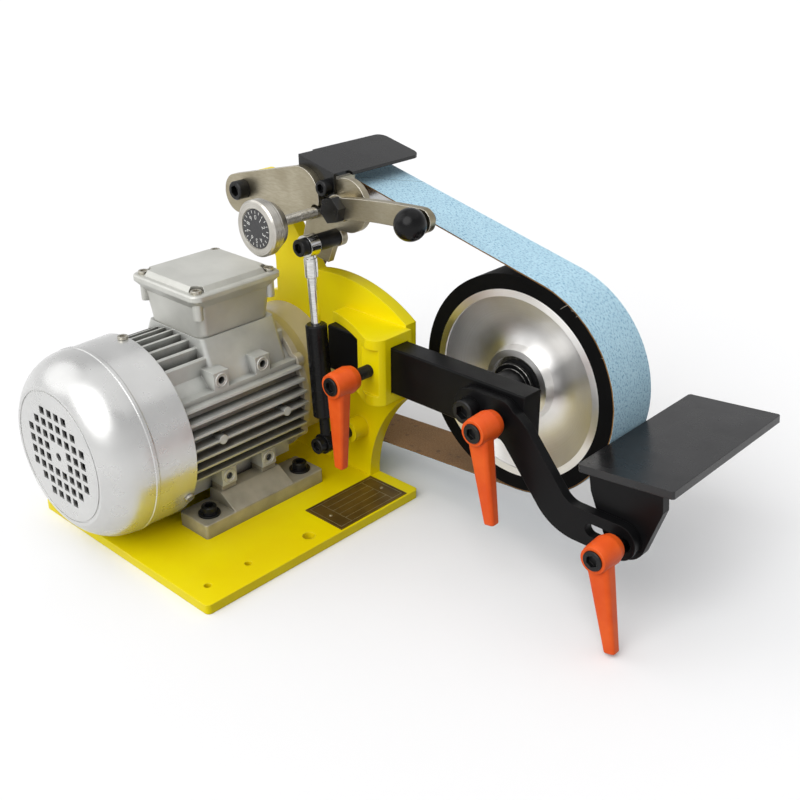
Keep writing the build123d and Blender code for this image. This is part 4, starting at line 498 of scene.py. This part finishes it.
# Clamp levers: zinc castings in an orange powder coat, each on a black stud with a socket head. The
# coat is thick and slightly rough, and thin on the corners.
orange_powder = coat("orange_powder", tint(240, 98, 32), tint(230, 84, 22), tint(246, 132, 74), 0.42,
                     patch=50.0, peel=1500.0, peel_depth=0.00008, corner=0.001, Specular_IOR_Level=0.3)
dress(orange_powder, "arm_clamp_handle", "rest_clamp_handle", "table_clamp_handle")


# Stud and screw threads: rolled threads that show on the tool arm's clamp stud and on the tracking
# screw. Each is one helical ridge, swept along a spiral by Geometry Nodes.
thread_tree, thread_in, thread_out = tree_with("rolled_thread", ("Radius", "Float"), ("Length", "Float"),
                                               ("Turns", "Float"), ("Ridge", "Float"),
                                               ("Place", "Vector"), ("Finish", "Material"))
thread_line = add(thread_tree, "GeometryNodeCurveSpiral", {
    "Resolution": 20,
    "Rotations": thread_in.outputs["Turns"],
    "Start Radius": thread_in.outputs["Radius"],
    "End Radius": thread_in.outputs["Radius"],
    "Height": thread_in.outputs["Length"],
})
thread_profile = add(thread_tree, "GeometryNodeCurvePrimitiveCircle", {
    "Radius": thread_in.outputs["Ridge"],
    "Resolution": 4,
})
thread_mesh = add(thread_tree, "GeometryNodeCurveToMesh", {0: thread_line.outputs[0],
                                                           1: thread_profile.outputs[0],
                                                           "Fill Caps": True})
thread_set = add(thread_tree, "GeometryNodeTransform", {
    "Geometry": thread_mesh.outputs[0],
    "Translation": thread_in.outputs["Place"],
    "Rotation": (-math.pi / 2, 0.0, 0.0),
})
end_tree(thread_tree, thread_in, thread_out, thread_set.outputs[0])
ridge_share = 0.28


def rolled_thread(name, axis, near, far, radius, pitch, finish, body):
    """A thread's ridge round a Y axis, between two places along it."""
    grown(name, thread_tree, bpy.data.meshes.new(name + "_seed"), {
        "Radius": radius,
        "Length": far - near,
        "Turns": (far - near) / pitch,
        "Ridge": pitch * ridge_share,
        "Place": (axis.x, near, axis.z),
        "Finish": finish,
    }, body)


clamp_axis = pivots["arm_clamp_turn"]
clamp_thread_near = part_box("arm_clamp_handle")[1].y + 0.0008
clamp_thread_far = 0.0685
clamp_thread_radius = 0.0049
clamp_thread_pitch = 0.0015
rolled_thread("clamp_thread", clamp_axis, clamp_thread_near, clamp_thread_far, clamp_thread_radius,
              clamp_thread_pitch, black_oxide, "arm_clamp")


# Abrasive belt: a cloth loop with blue ceramic grain outside and bare brown cloth inside, cut from a
# wide roll, so its edges fray, and spliced slantwise. It is made in five lengths.
belt_gap = 0.0003
belt_thickness = 0.0012
belt_near = 0.125
belt_far = 0.175
drive_centre = Vector((motor_axis.x, motor_axis.z))
contact_centre = Vector((wheel_axis.x, wheel_axis.z))
tracking_centre = Vector((pivots["tracking_spin"].x, pivots["tracking_spin"].z))
drive_radius, contact_radius, tracking_radius = 0.060, 0.090, 0.020
drive_run = drive_radius + belt_gap
contact_run = contact_radius + belt_gap
tracking_run = tracking_radius + belt_gap
low_share = 0.52
top_near_share, top_far_share = 0.2, 0.84
back_share = 0.28
crest_step = math.radians(4)


def outward(angle):
    return Vector((math.cos(angle), math.sin(angle)))


def tangent_angle(start, start_radius, end, end_radius):
    """The outward direction of the straight run between two wheels, going anticlockwise."""
    span = end - start
    return math.atan2(span.y, span.x) - math.acos((start_radius - end_radius) / span.length)


def straight(start, end, normal, step=0.006):
    count = max(2, round((end - start).length / step))
    return [(start.lerp(end, index / count), normal) for index in range(count + 1)]


def round_wheel(centre, radius, start, stop, step=math.radians(2.4)):
    stop = start + (stop - start) % (2 * math.pi)
    count = max(2, round((stop - start) / step))
    angles = [start + (stop - start) * index / count for index in range(count + 1)]
    return [(centre + outward(angle) * radius, outward(angle)) for angle in angles]


low_angle = tangent_angle(drive_centre, drive_run, contact_centre, contact_run)
top_angle = tangent_angle(contact_centre, contact_run, tracking_centre, tracking_run)
back_angle = tangent_angle(tracking_centre, tracking_run, drive_centre, drive_run)
low_start = drive_centre + outward(low_angle) * drive_run
low_end = contact_centre + outward(low_angle) * contact_run
top_start = contact_centre + outward(top_angle) * contact_run
top_end = tracking_centre + outward(top_angle) * tracking_run
back_start = tracking_centre + outward(back_angle) * tracking_run
back_end = drive_centre + outward(back_angle) * drive_run
low_middle = low_start.lerp(low_end, low_share)
top_middle = top_start.lerp(top_end, top_near_share)
top_cut = top_start.lerp(top_end, top_far_share)
back_cut = back_start.lerp(back_end, back_share)
crest_angle = (top_angle + top_angle + (back_angle - top_angle) % (2 * math.pi)) / 2
contact_path = (straight(low_middle, low_end, outward(low_angle))
                + round_wheel(contact_centre, contact_run, low_angle, top_angle)[1:]
                + straight(top_start, top_middle, outward(top_angle))[1:])
top_path = straight(top_middle, top_cut, outward(top_angle))
crest_path = (straight(top_cut, top_end, outward(top_angle))
              + round_wheel(tracking_centre, tracking_run, top_angle, crest_angle, crest_step)[1:])
fall_path = (round_wheel(tracking_centre, tracking_run, crest_angle, back_angle, crest_step)
             + straight(back_start, back_cut, outward(back_angle))[1:])
drive_path = (straight(back_cut, back_end, outward(back_angle))
              + round_wheel(drive_centre, drive_run, back_angle, low_angle)[1:]
              + straight(low_start, low_middle, outward(low_angle))[1:])


def belt_coordinates(tree):
    return add(tree, "ShaderNodeUVMap", uv_map="run").outputs[0]


blue_grain, grain_tree, grain_shader = new_finish("blue_grain", Roughness=0.82, Specular_IOR_Level=0.3)[:3]
run = belt_coordinates(grain_tree)
grit = grain(grain_tree, run, 720.0, 2.0, (0.6, 1, 1))
fine_grit = grain(grain_tree, run, 1500.0, 1.0)
clouds = spread(grain_tree, grain(grain_tree, run, 60.0, 3.0), 0.35, 0.65, 0.0, 1.0)
pale_blue = shades(grain_tree, clouds, tint(184, 220, 236), tint(176, 213, 230))
specked = shades(grain_tree, spread(grain_tree, grit, 0.5, 0.66, 0.0, 0.85), pale_blue, tint(104, 154, 188))
sparked = shades(grain_tree, spread(grain_tree, fine_grit, 0.56, 0.68, 0.0, 0.8), specked,
                 tint(222, 243, 250))
joint_lean = 0.715
joint_run = 0.0993
joint_half_width = 0.0004
crosswise = add(grain_tree, "ShaderNodeSeparateXYZ", {0: run})
leaning = add(grain_tree, "ShaderNodeMath", {0: crosswise.outputs["Y"], 1: joint_lean,
                                             2: crosswise.outputs["X"]}, operation="MULTIPLY_ADD")
spliced = add(grain_tree, "ShaderNodeMath", {0: leaning.outputs[0], 1: joint_run, 2: joint_half_width},
              operation="COMPARE")
seam = product(grain_tree, spliced.outputs[0], spread(grain_tree, grit, 0.35, 0.6, 0.95, 0.45))
grain_tree.links.new(shades(grain_tree, seam, sparked, tint(52, 78, 92)), grain_shader.inputs["Base Color"])
grain_normal = add(grain_tree, "ShaderNodeNewGeometry").outputs["Normal"]
relief(grain_tree, grain_shader, fine_grit, 0.0002, grain_normal)

brown_cloth, cloth_tree, cloth_shader = new_finish("brown_cloth", Roughness=0.9, Sheen_Weight=0.15)[:3]
run = belt_coordinates(cloth_tree)
warp = grain(cloth_tree, run, 2200.0, 1.0, (0.25, 1, 1))
weft = grain(cloth_tree, run, 2200.0, 1.0, (1, 0.25, 1))
weave = product(cloth_tree, warp, weft)
cloth_clouds = spread(cloth_tree, grain(cloth_tree, run, 45.0, 3.0), 0.35, 0.65, 0.0, 1.0)
cloth_colour = shades(cloth_tree, cloth_clouds, tint(134, 94, 44), tint(116, 80, 34))
woven = shades(cloth_tree, spread(cloth_tree, weave, 0.18, 0.34, 0.0, 0.6), cloth_colour, tint(160, 124, 78))
stains = spread(cloth_tree, grain(cloth_tree, run, 110.0, 2.0), 0.62, 0.7, 0.0, 0.6)
cloth_tree.links.new(shades(cloth_tree, stains, woven, tint(84, 58, 30)), cloth_shader.inputs["Base Color"])
cloth_normal = add(cloth_tree, "ShaderNodeNewGeometry").outputs["Normal"]
relief(cloth_tree, cloth_shader, weave, 0.0003, cloth_normal)
frays = random.Random(7)
fray_near, fray_far = 0.0004, 0.0003
belt_columns = (0.0, 0.0016, 0.5, 0.9968, 1.0)
hem_sunk = 0.00022
hem_angle = math.radians(50)


def belt_length_piece(name, path, first):
    """One length of the belt: grain outside, cloth inside, and ragged edges between them."""
    built = bmesh.new()
    across = belt_columns
    uv = built.loops.layers.uv.new("run")
    outer, inner = [], []
    travelled = first
    lengths = []
    for index, (point, normal) in enumerate(path):
        if index:
            travelled += (point - path[index - 1][0]).length
        lengths.append(travelled)
        ragged = [frays.uniform(0.0, fray_near), frays.uniform(0.0, fray_far)]
        rows = []
        for lift in (belt_thickness, 0.0):
            row = []
            for share in across:
                y = belt_near + (belt_far - belt_near) * share
                y += ragged[0] if share == 0.0 else 0.0
                y -= ragged[1] if share == 1.0 else 0.0
                sunk = hem_sunk if share in (0.0, 1.0) and lift else 0.0
                spot = point + normal * (lift - sunk)
                row.append(built.verts.new((spot.x, y, spot.y)))
            rows.append(row)
        outer.append(rows[0])
        inner.append(rows[1])

    def patch(corners, runs, shares, material):
        face = built.faces.new(corners)
        face.material_index = material
        face.smooth = True
        for loop, along, share in zip(face.loops, runs, shares):
            loop[uv].uv = (along, share * (belt_far - belt_near))

    last = len(across) - 1
    for index in range(len(path) - 1):
        near_run, far_run = lengths[index], lengths[index + 1]
        runs = (near_run, near_run, far_run, far_run)
        for column in range(last):
            shares = (across[column], across[column + 1], across[column + 1], across[column])
            patch((outer[index][column], outer[index][column + 1], outer[index + 1][column + 1],
                   outer[index + 1][column]), runs, shares, 0)
            patch((inner[index + 1][column], inner[index + 1][column + 1], inner[index][column + 1],
                   inner[index][column]), (far_run, far_run, near_run, near_run), shares, 1)
        for column in (0, last):
            share = across[column]
            patch((outer[index][column], outer[index + 1][column], inner[index + 1][column],
                   inner[index][column]), (near_run, far_run, far_run, near_run), (share,) * 4, 1)
    for index in (0, len(path) - 1):
        along = lengths[index]
        for column in range(last):
            shares = (across[column], across[column + 1], across[column + 1], across[column])
            patch((outer[index][column], outer[index][column + 1], inner[index][column + 1],
                   inner[index][column]), (along,) * 4, shares, 1)
    bmesh.ops.recalc_face_normals(built, faces=built.faces)
    for edge in built.edges:
        edge.smooth = edge.calc_face_angle(0.0) < hem_angle
    mesh = bpy.data.meshes.new(name)
    built.to_mesh(mesh)
    built.free()
    mesh.materials.append(blue_grain)
    mesh.materials.append(brown_cloth)
    piece = linked(name, mesh)
    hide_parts("abrasive_belt")
    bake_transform(piece)
    return travelled


splice_origin = top_start.lerp(top_end, 0.5)
belt_run = -(splice_origin - top_middle).length
belt_run = belt_length_piece("belt_top_run", top_path, belt_run)
belt_run = belt_length_piece("belt_top_crest", crest_path, belt_run)
belt_run = belt_length_piece("belt_back_crest", fall_path, belt_run)
belt_run = belt_length_piece("belt_drive_run", drive_path, belt_run)
belt_length_piece("belt_contact_run", contact_path, belt_run)


# Frayed threads: a few pale ends of the cloth's weft that the contact wheel has worked out of the
# belt's near edge. Each is a thin curved strand that stands off the edge.
thread_tan = coat("thread_tan", tint(222, 214, 196), tint(204, 194, 172), tint(232, 226, 212), 0.8,
                  patch=400.0, peel=3000.0, peel_depth=0.00002, corner=0.0001)
strands = bmesh.new()
strand_radius = 0.00016
strand_sides = 6
strand_steps = 6
strand_root = 0.0006
strand_depth = 0.4
strand_taper = 0.5
for angle, reach, drift, lift in ((60.5, 0.0105, -0.0006, 0.0004), (56.5, 0.0045, 0.0012, 0.0018),
                                  (53.5, 0.0065, -0.0010, 0.0026), (31.0, 0.0030, 0.0008, 0.0006)):
    outer_way = outward(math.radians(angle))
    along_way = Vector((-outer_way.y, outer_way.x))
    rings = []
    for step in range(strand_steps + 1):
        share = step / strand_steps
        away = contact_run + belt_thickness * strand_depth + lift * share * share
        middle = contact_centre + outer_way * away + along_way * drift * share * share
        ring = []
        for corner in range(strand_sides):
            way = outward(2 * math.pi * corner / strand_sides) * strand_radius * (1.0 - strand_taper * share)
            ring.append(strands.verts.new((middle.x + way.x, belt_near + strand_root - reach * share,
                                           middle.y + way.y)))
        rings.append(ring)
    for first, second in zip(rings, rings[1:]):
        for corner in range(strand_sides):
            after = (corner + 1) % strand_sides
            strands.faces.new((first[corner], first[after], second[after], second[corner]))
    strands.faces.new(rings[0])
    strands.faces.new(rings[-1])
finished("belt_threads", strands, thread_tan, "tool_arm")


# Tension arm, link plate and release lever: laser cut steel plates, tumbled and nickel plated, so
# their faces are satin and warm and their corners bright.
def plated(name, colour, dark, roughness, along, scale, corner=0.0009, **sockets):
    """Tumbled and plated steel: fine brushing, soft cloudy tarnish and bright corners."""
    finish, tree, shader, place = new_finish(name, Metallic=1.0, **sockets)
    brushing = grain(tree, place, scale, 2.0, along)
    tarnish = spread(tree, grain(tree, place, 30.0, 4.0), 0.35, 0.68, 0.0, 1.0)
    rounded = soft_normal(tree, corner)
    edge = corner_share(tree, rounded)
    skin = shades(tree, tarnish, colour, dark)
    brushed = shades(tree, spread(tree, brushing, 0.4, 0.6, 0.0, 0.35), skin, dark)
    bright = shades(tree, edge, brushed, tint(226, 222, 210))
    tree.links.new(bright, shader.inputs["Base Color"])
    tree.links.new(spread(tree, brushing, 0.3, 0.7, roughness - 0.07, roughness + 0.09),
                   shader.inputs["Roughness"])
    relief(tree, shader, brushing, 0.00003, rounded)
    return finish


nickel_plate = plated("nickel_plate", tint(180, 172, 151), tint(152, 143, 120), 0.36, (0.12, 1, 1), 1500.0)
dress(nickel_plate, "tension_arm", "link_plate", "release_lever", "tracking_block", "hinge_pin")
bolt_black = coat("bolt_black", tint(30, 30, 31), tint(20, 20, 21), tint(84, 82, 78), 0.3, patch=160.0,
                  peel=2600.0, peel_depth=0.00002, corner=0.0005, Metallic=0.3)
dress(bolt_black, "lever_bolt")


# Lever ball: a moulded black thermoset ball with a polished skin, held on the lever's end by a screw
# through its middle.
ball_gloss = coat("ball_gloss", tint(12, 12, 13), tint(9, 9, 10), tint(34, 34, 35), 0.26, patch=70.0,
                  peel=900.0, peel_depth=0.00001, corner=0.0005, Specular_IOR_Level=0.22)
dress(ball_gloss, "lever_ball")


# Belt guard: bent sheet in a fine black texture coat over the tracking wheel. Its flange is held
# between the tension arm and the link plate by their screws.
guard_black = coat("guard_black", tint(20, 20, 20), tint(14, 14, 14), tint(60, 60, 59), 0.24, patch=30.0,
                   peel=1100.0, peel_depth=0.00002, corner=0.0007, Specular_IOR_Level=0.42)
dress(guard_black, "belt_guard")


# Tracking wheel: a crowned aluminium roller on two small shielded bearings, which sit on a headed axle
# in the hinged block under the guard.
roller_axis = pivots["tracking_spin"]
roller_turned = turned_metal("roller_turned", tint(206, 206, 204), tint(148, 148, 147), 0.26, roller_axis)
dress(roller_turned, "tracking_wheel", "tracking_axle")
roller_inner_race, roller_outer_race = 0.0070, 0.0113
roller_rings = sealed_rings("roller_rings", roller_axis, roller_inner_race, roller_outer_race)
dress(roller_rings, "tracking_bearings")


# Tracking knob: turned steel with a beaded rim on a long screw with a lock nut. A dark dial with plain
# numbers is let into its face, so that a setting can be found again.
knob_axis = pivots["knob_turn"]
knob_steel = turned_metal("knob_steel", tint(214, 211, 203), tint(170, 166, 156), 0.3, knob_axis, ring=1300.0)
dress(knob_steel, "tracking_knob", "tracking_screw", "knob_locknut")
screw_clear = 0.001
screw_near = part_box("knob_locknut")[1].y + screw_clear
screw_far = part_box("tension_arm")[0].y - screw_clear
screw_radius = 0.0039
screw_pitch = 0.00125
rolled_thread("tracking_thread", knob_axis, screw_near, screw_far, screw_radius, screw_pitch, knob_steel,
              "dial_knob")
dial_sunk = 0.001
dial_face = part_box("tracking_knob")[0].y + dial_sunk
dial_radius = 0.0158
dial_thickness = 0.0005
dial_chamfer = 0.0003
dial_black = coat("dial_black", tint(34, 34, 36), tint(26, 26, 28), tint(60, 60, 62), 0.24, patch=120.0,
                  peel=1500.0, peel_depth=0.00001, corner=0.0003, Coat_Weight=0.3)
dial = bmesh.new()
dial_place = Matrix.Translation((knob_axis.x, dial_face - dial_thickness / 2, knob_axis.z))
bmesh.ops.create_cone(dial, cap_ends=True, segments=72, radius1=dial_radius,
                      radius2=dial_radius - dial_chamfer, depth=dial_thickness,
                      matrix=dial_place @ Matrix.Rotation(math.pi / 2, 4, "X"))
finished("dial_disc", dial, dial_black, "dial_knob")

dial_white = coat("dial_white", tint(226, 226, 222), tint(212, 212, 208), tint(236, 236, 232), 0.42,
                  patch=300.0, peel=3000.0, peel_depth=0.000005, corner=0.0001)
tick_count = 20
tick_length = 0.0022
tick_width = 0.0006
tick_thickness = 0.0002
tick_ring = dial_radius - 0.0024
tick_tree, tick_in, tick_out = tree_with("dial_ticks", ("Length", "Float"), ("Width", "Float"),
                                         ("Finish", "Material"))
tick_size = add(tick_tree, "ShaderNodeCombineXYZ", {"X": tick_in.outputs["Width"],
                                                    "Y": tick_in.outputs["Length"], "Z": tick_thickness})
tick_block = add(tick_tree, "GeometryNodeMeshCube", {"Size": tick_size.outputs[0]})
tick_aim = add(tick_tree, "GeometryNodeInputNamedAttribute", {"Name": "aim"}, data_type="FLOAT_VECTOR")
tick_up = add(tick_tree, "FunctionNodeAlignRotationToVector", {"Vector": (0.0, -1.0, 0.0)}, axis="Z")
tick_turn = add(tick_tree, "FunctionNodeAlignRotationToVector", {"Rotation": tick_up.outputs[0],
                                                                 "Vector": tick_aim.outputs[0]},
                axis="Y", pivot_axis="Z")
end_on_points(tick_tree, tick_in, tick_out, tick_block.outputs[0], tick_turn.outputs[0])
dial_front = dial_face - dial_thickness
tick_aims = [Vector((math.cos(2 * math.pi * step / tick_count), 0, math.sin(2 * math.pi * step / tick_count)))
             for step in range(tick_count)]
tick_places = [Vector((knob_axis.x, dial_front, knob_axis.z)) + aim * tick_ring for aim in tick_aims]
grown("dial_ticks", tick_tree, points_mesh("tick_points", tick_places, tick_aims),
      {"Length": tick_length, "Width": tick_width, "Finish": dial_white}, "dial_knob")
figures = bmesh.new()
figure_ring = dial_radius - 0.0066
figure_count = 10
figure_size = 0.0052
figure_relief = 0.0001
upright = Matrix.Rotation(math.pi / 2, 4, "X")
for figure in range(figure_count):
    words = bpy.data.curves.new("figure", "FONT")
    words.body = str(figure)
    words.size = figure_size
    words.extrude = figure_relief
    words.align_x = "CENTER"
    words.align_y = "CENTER"
    holder = linked("figure", words)
    seen = holder.evaluated_get(bpy.context.evaluated_depsgraph_get())
    outline = bpy.data.meshes.new_from_object(seen)
    turn = math.pi / 2 - 2 * math.pi * figure / figure_count
    spot = Vector((knob_axis.x + figure_ring * math.cos(turn), dial_front,
                   knob_axis.z + figure_ring * math.sin(turn)))
    leaning = Matrix.Rotation(math.pi / 2 - turn, 4, "Y")
    outline.transform(Matrix.Translation(spot) @ leaning @ upright)
    figures.from_mesh(outline)
    bpy.data.objects.remove(holder)
    bpy.data.meshes.remove(outline)
finished("dial_figures", figures, dial_white, "dial_knob")


# Gas strut: a black lacquered pressure tube with a hard chromed rod and a bright eye at its upper end,
# pinned to the upright below and to the link plate above.
strut_lacquer = coat("strut_lacquer", tint(22, 22, 23), tint(16, 16, 17), tint(60, 60, 61), 0.26, patch=50.0,
                     peel=1400.0, peel_depth=0.00002, corner=0.0006, Specular_IOR_Level=0.16)
dress(strut_lacquer, "strut_cylinder")
strut_chrome = banded("strut_chrome", tint(222, 222, 220), tint(196, 196, 194), 0.14, (0.1, 0.1, 1), 1800.0,
                      0.00001, Metallic=1.0)
dress(strut_chrome, "strut_rod")


# Studio: a wide plain floor under soft light from the front, the left and above, and a camera at the
# photograph's place. What floor and sky throw on the object is dimmer than what the eye sees of them.
floor_pale, floor_tree, floor_shader, floor_place = new_finish("floor_pale", Roughness=0.8,
                                                               Specular_IOR_Level=0.1)
floor_clouds = grain(floor_tree, floor_place, 1.2, 2.0)
floor_white = shades(floor_tree, floor_clouds, tint(246, 246, 246), tint(248, 248, 248))
ray = add(floor_tree, "ShaderNodeLightPath").outputs
mirrored = add(floor_tree, "ShaderNodeMath", {0: ray["Is Camera Ray"], 1: ray["Is Glossy Ray"]},
               operation="MAXIMUM")
seen_ray = add(floor_tree, "ShaderNodeMath", {0: mirrored.outputs[0], 1: ray["Is Transmission Ray"]},
               operation="MAXIMUM")
floor_bounce = tint(140, 140, 140)
floor_tree.links.new(shades(floor_tree, seen_ray.outputs[0], floor_bounce, floor_white),
                     floor_shader.inputs["Base Color"])
floor_reach = 30.0
floor_drop = 0.0002
floor = bmesh.new()
bmesh.ops.create_grid(floor, x_segments=2, y_segments=2, size=floor_reach,
                      matrix=Matrix.Translation((0, 0, -floor_drop)))
floor_mesh = bpy.data.meshes.new("floor")
floor.to_mesh(floor_mesh)
floor.free()
floor_mesh.materials.append(floor_pale)
floor_piece = linked("floor", floor_mesh)

world = bpy.data.worlds.new("studio")
world.use_nodes = True
bpy.context.scene.world = world
sky = world.node_tree
sky_way = add(sky, "ShaderNodeSeparateXYZ", {0: add(sky, "ShaderNodeTexCoord").outputs["Generated"]})
sky_share = spread(sky, sky_way.outputs["Z"], 0.0, 0.9, 0.0, 1.0)
sky_low = (0.92, 0.92, 0.93, 1.0)
sky_high = (0.42, 0.42, 0.43, 1.0)
sky_colour = shades(sky, sky_share, sky_low, sky_high)
sky_ray = add(sky, "ShaderNodeLightPath").outputs
sky_white = shades(sky, sky_ray["Is Camera Ray"], sky_colour, tint(255, 255, 255))
sky.links.new(sky_white, sky.nodes["Background"].inputs["Color"])
motor_side_level, wheel_side_level, mirrored_level = 0.9, 0.42, 0.9
sky_side = spread(sky, sky_way.outputs["X"], -0.1, 0.6, motor_side_level, wheel_side_level)
sky_gloss = product(sky, sky_ray["Is Glossy Ray"], mirrored_level)
sky_open = add(sky, "ShaderNodeMath", {0: sky_gloss, 1: sky_ray["Is Camera Ray"]}, operation="MAXIMUM")
sky_level = add(sky, "ShaderNodeMath", {0: sky_side, 1: sky_open.outputs[0]}, operation="MAXIMUM")
sky.links.new(sky_level.outputs[0], sky.nodes["Background"].inputs["Strength"])


def lamp(name, direction, strength, width):
    """A broad distant lamp in a direction from the object, as soft as its width in degrees."""
    light = bpy.data.lights.new(name, "SUN")
    light.energy = strength
    light.angle = math.radians(width)
    holder = linked(name, light)
    holder.rotation_euler = Vector(direction).to_track_quat("Z", "Y").to_euler()


lamp("key_softbox", (0.14, -0.72, 0.68), 1.95, 55)
lamp("left_softbox", (-0.7, -0.4, 0.6), 0.5, 50)
lamp("top_softbox", (0.1, 0.2, 0.97), 0.6, 70)

camera_turn = math.radians(43.33)
camera_rise = math.radians(26.18)
camera_roll = math.radians(0.35)
back = Vector((math.sin(camera_turn) * math.cos(camera_rise), -math.cos(camera_turn) * math.cos(camera_rise),
               math.sin(camera_rise)))
eye = bpy.data.cameras.new("camera")
eye.lens = 49.41
camera = linked("camera", eye)
camera.location = (0.67235, -0.49968, 0.50393)
camera.rotation_mode = "QUATERNION"
camera.rotation_quaternion = (-back).to_track_quat("-Z", "Y") @ Quaternion((0, 0, 1), -camera_roll)
bpy.context.scene.camera = camera
bpy.context.scene.view_settings.view_transform = "Standard"
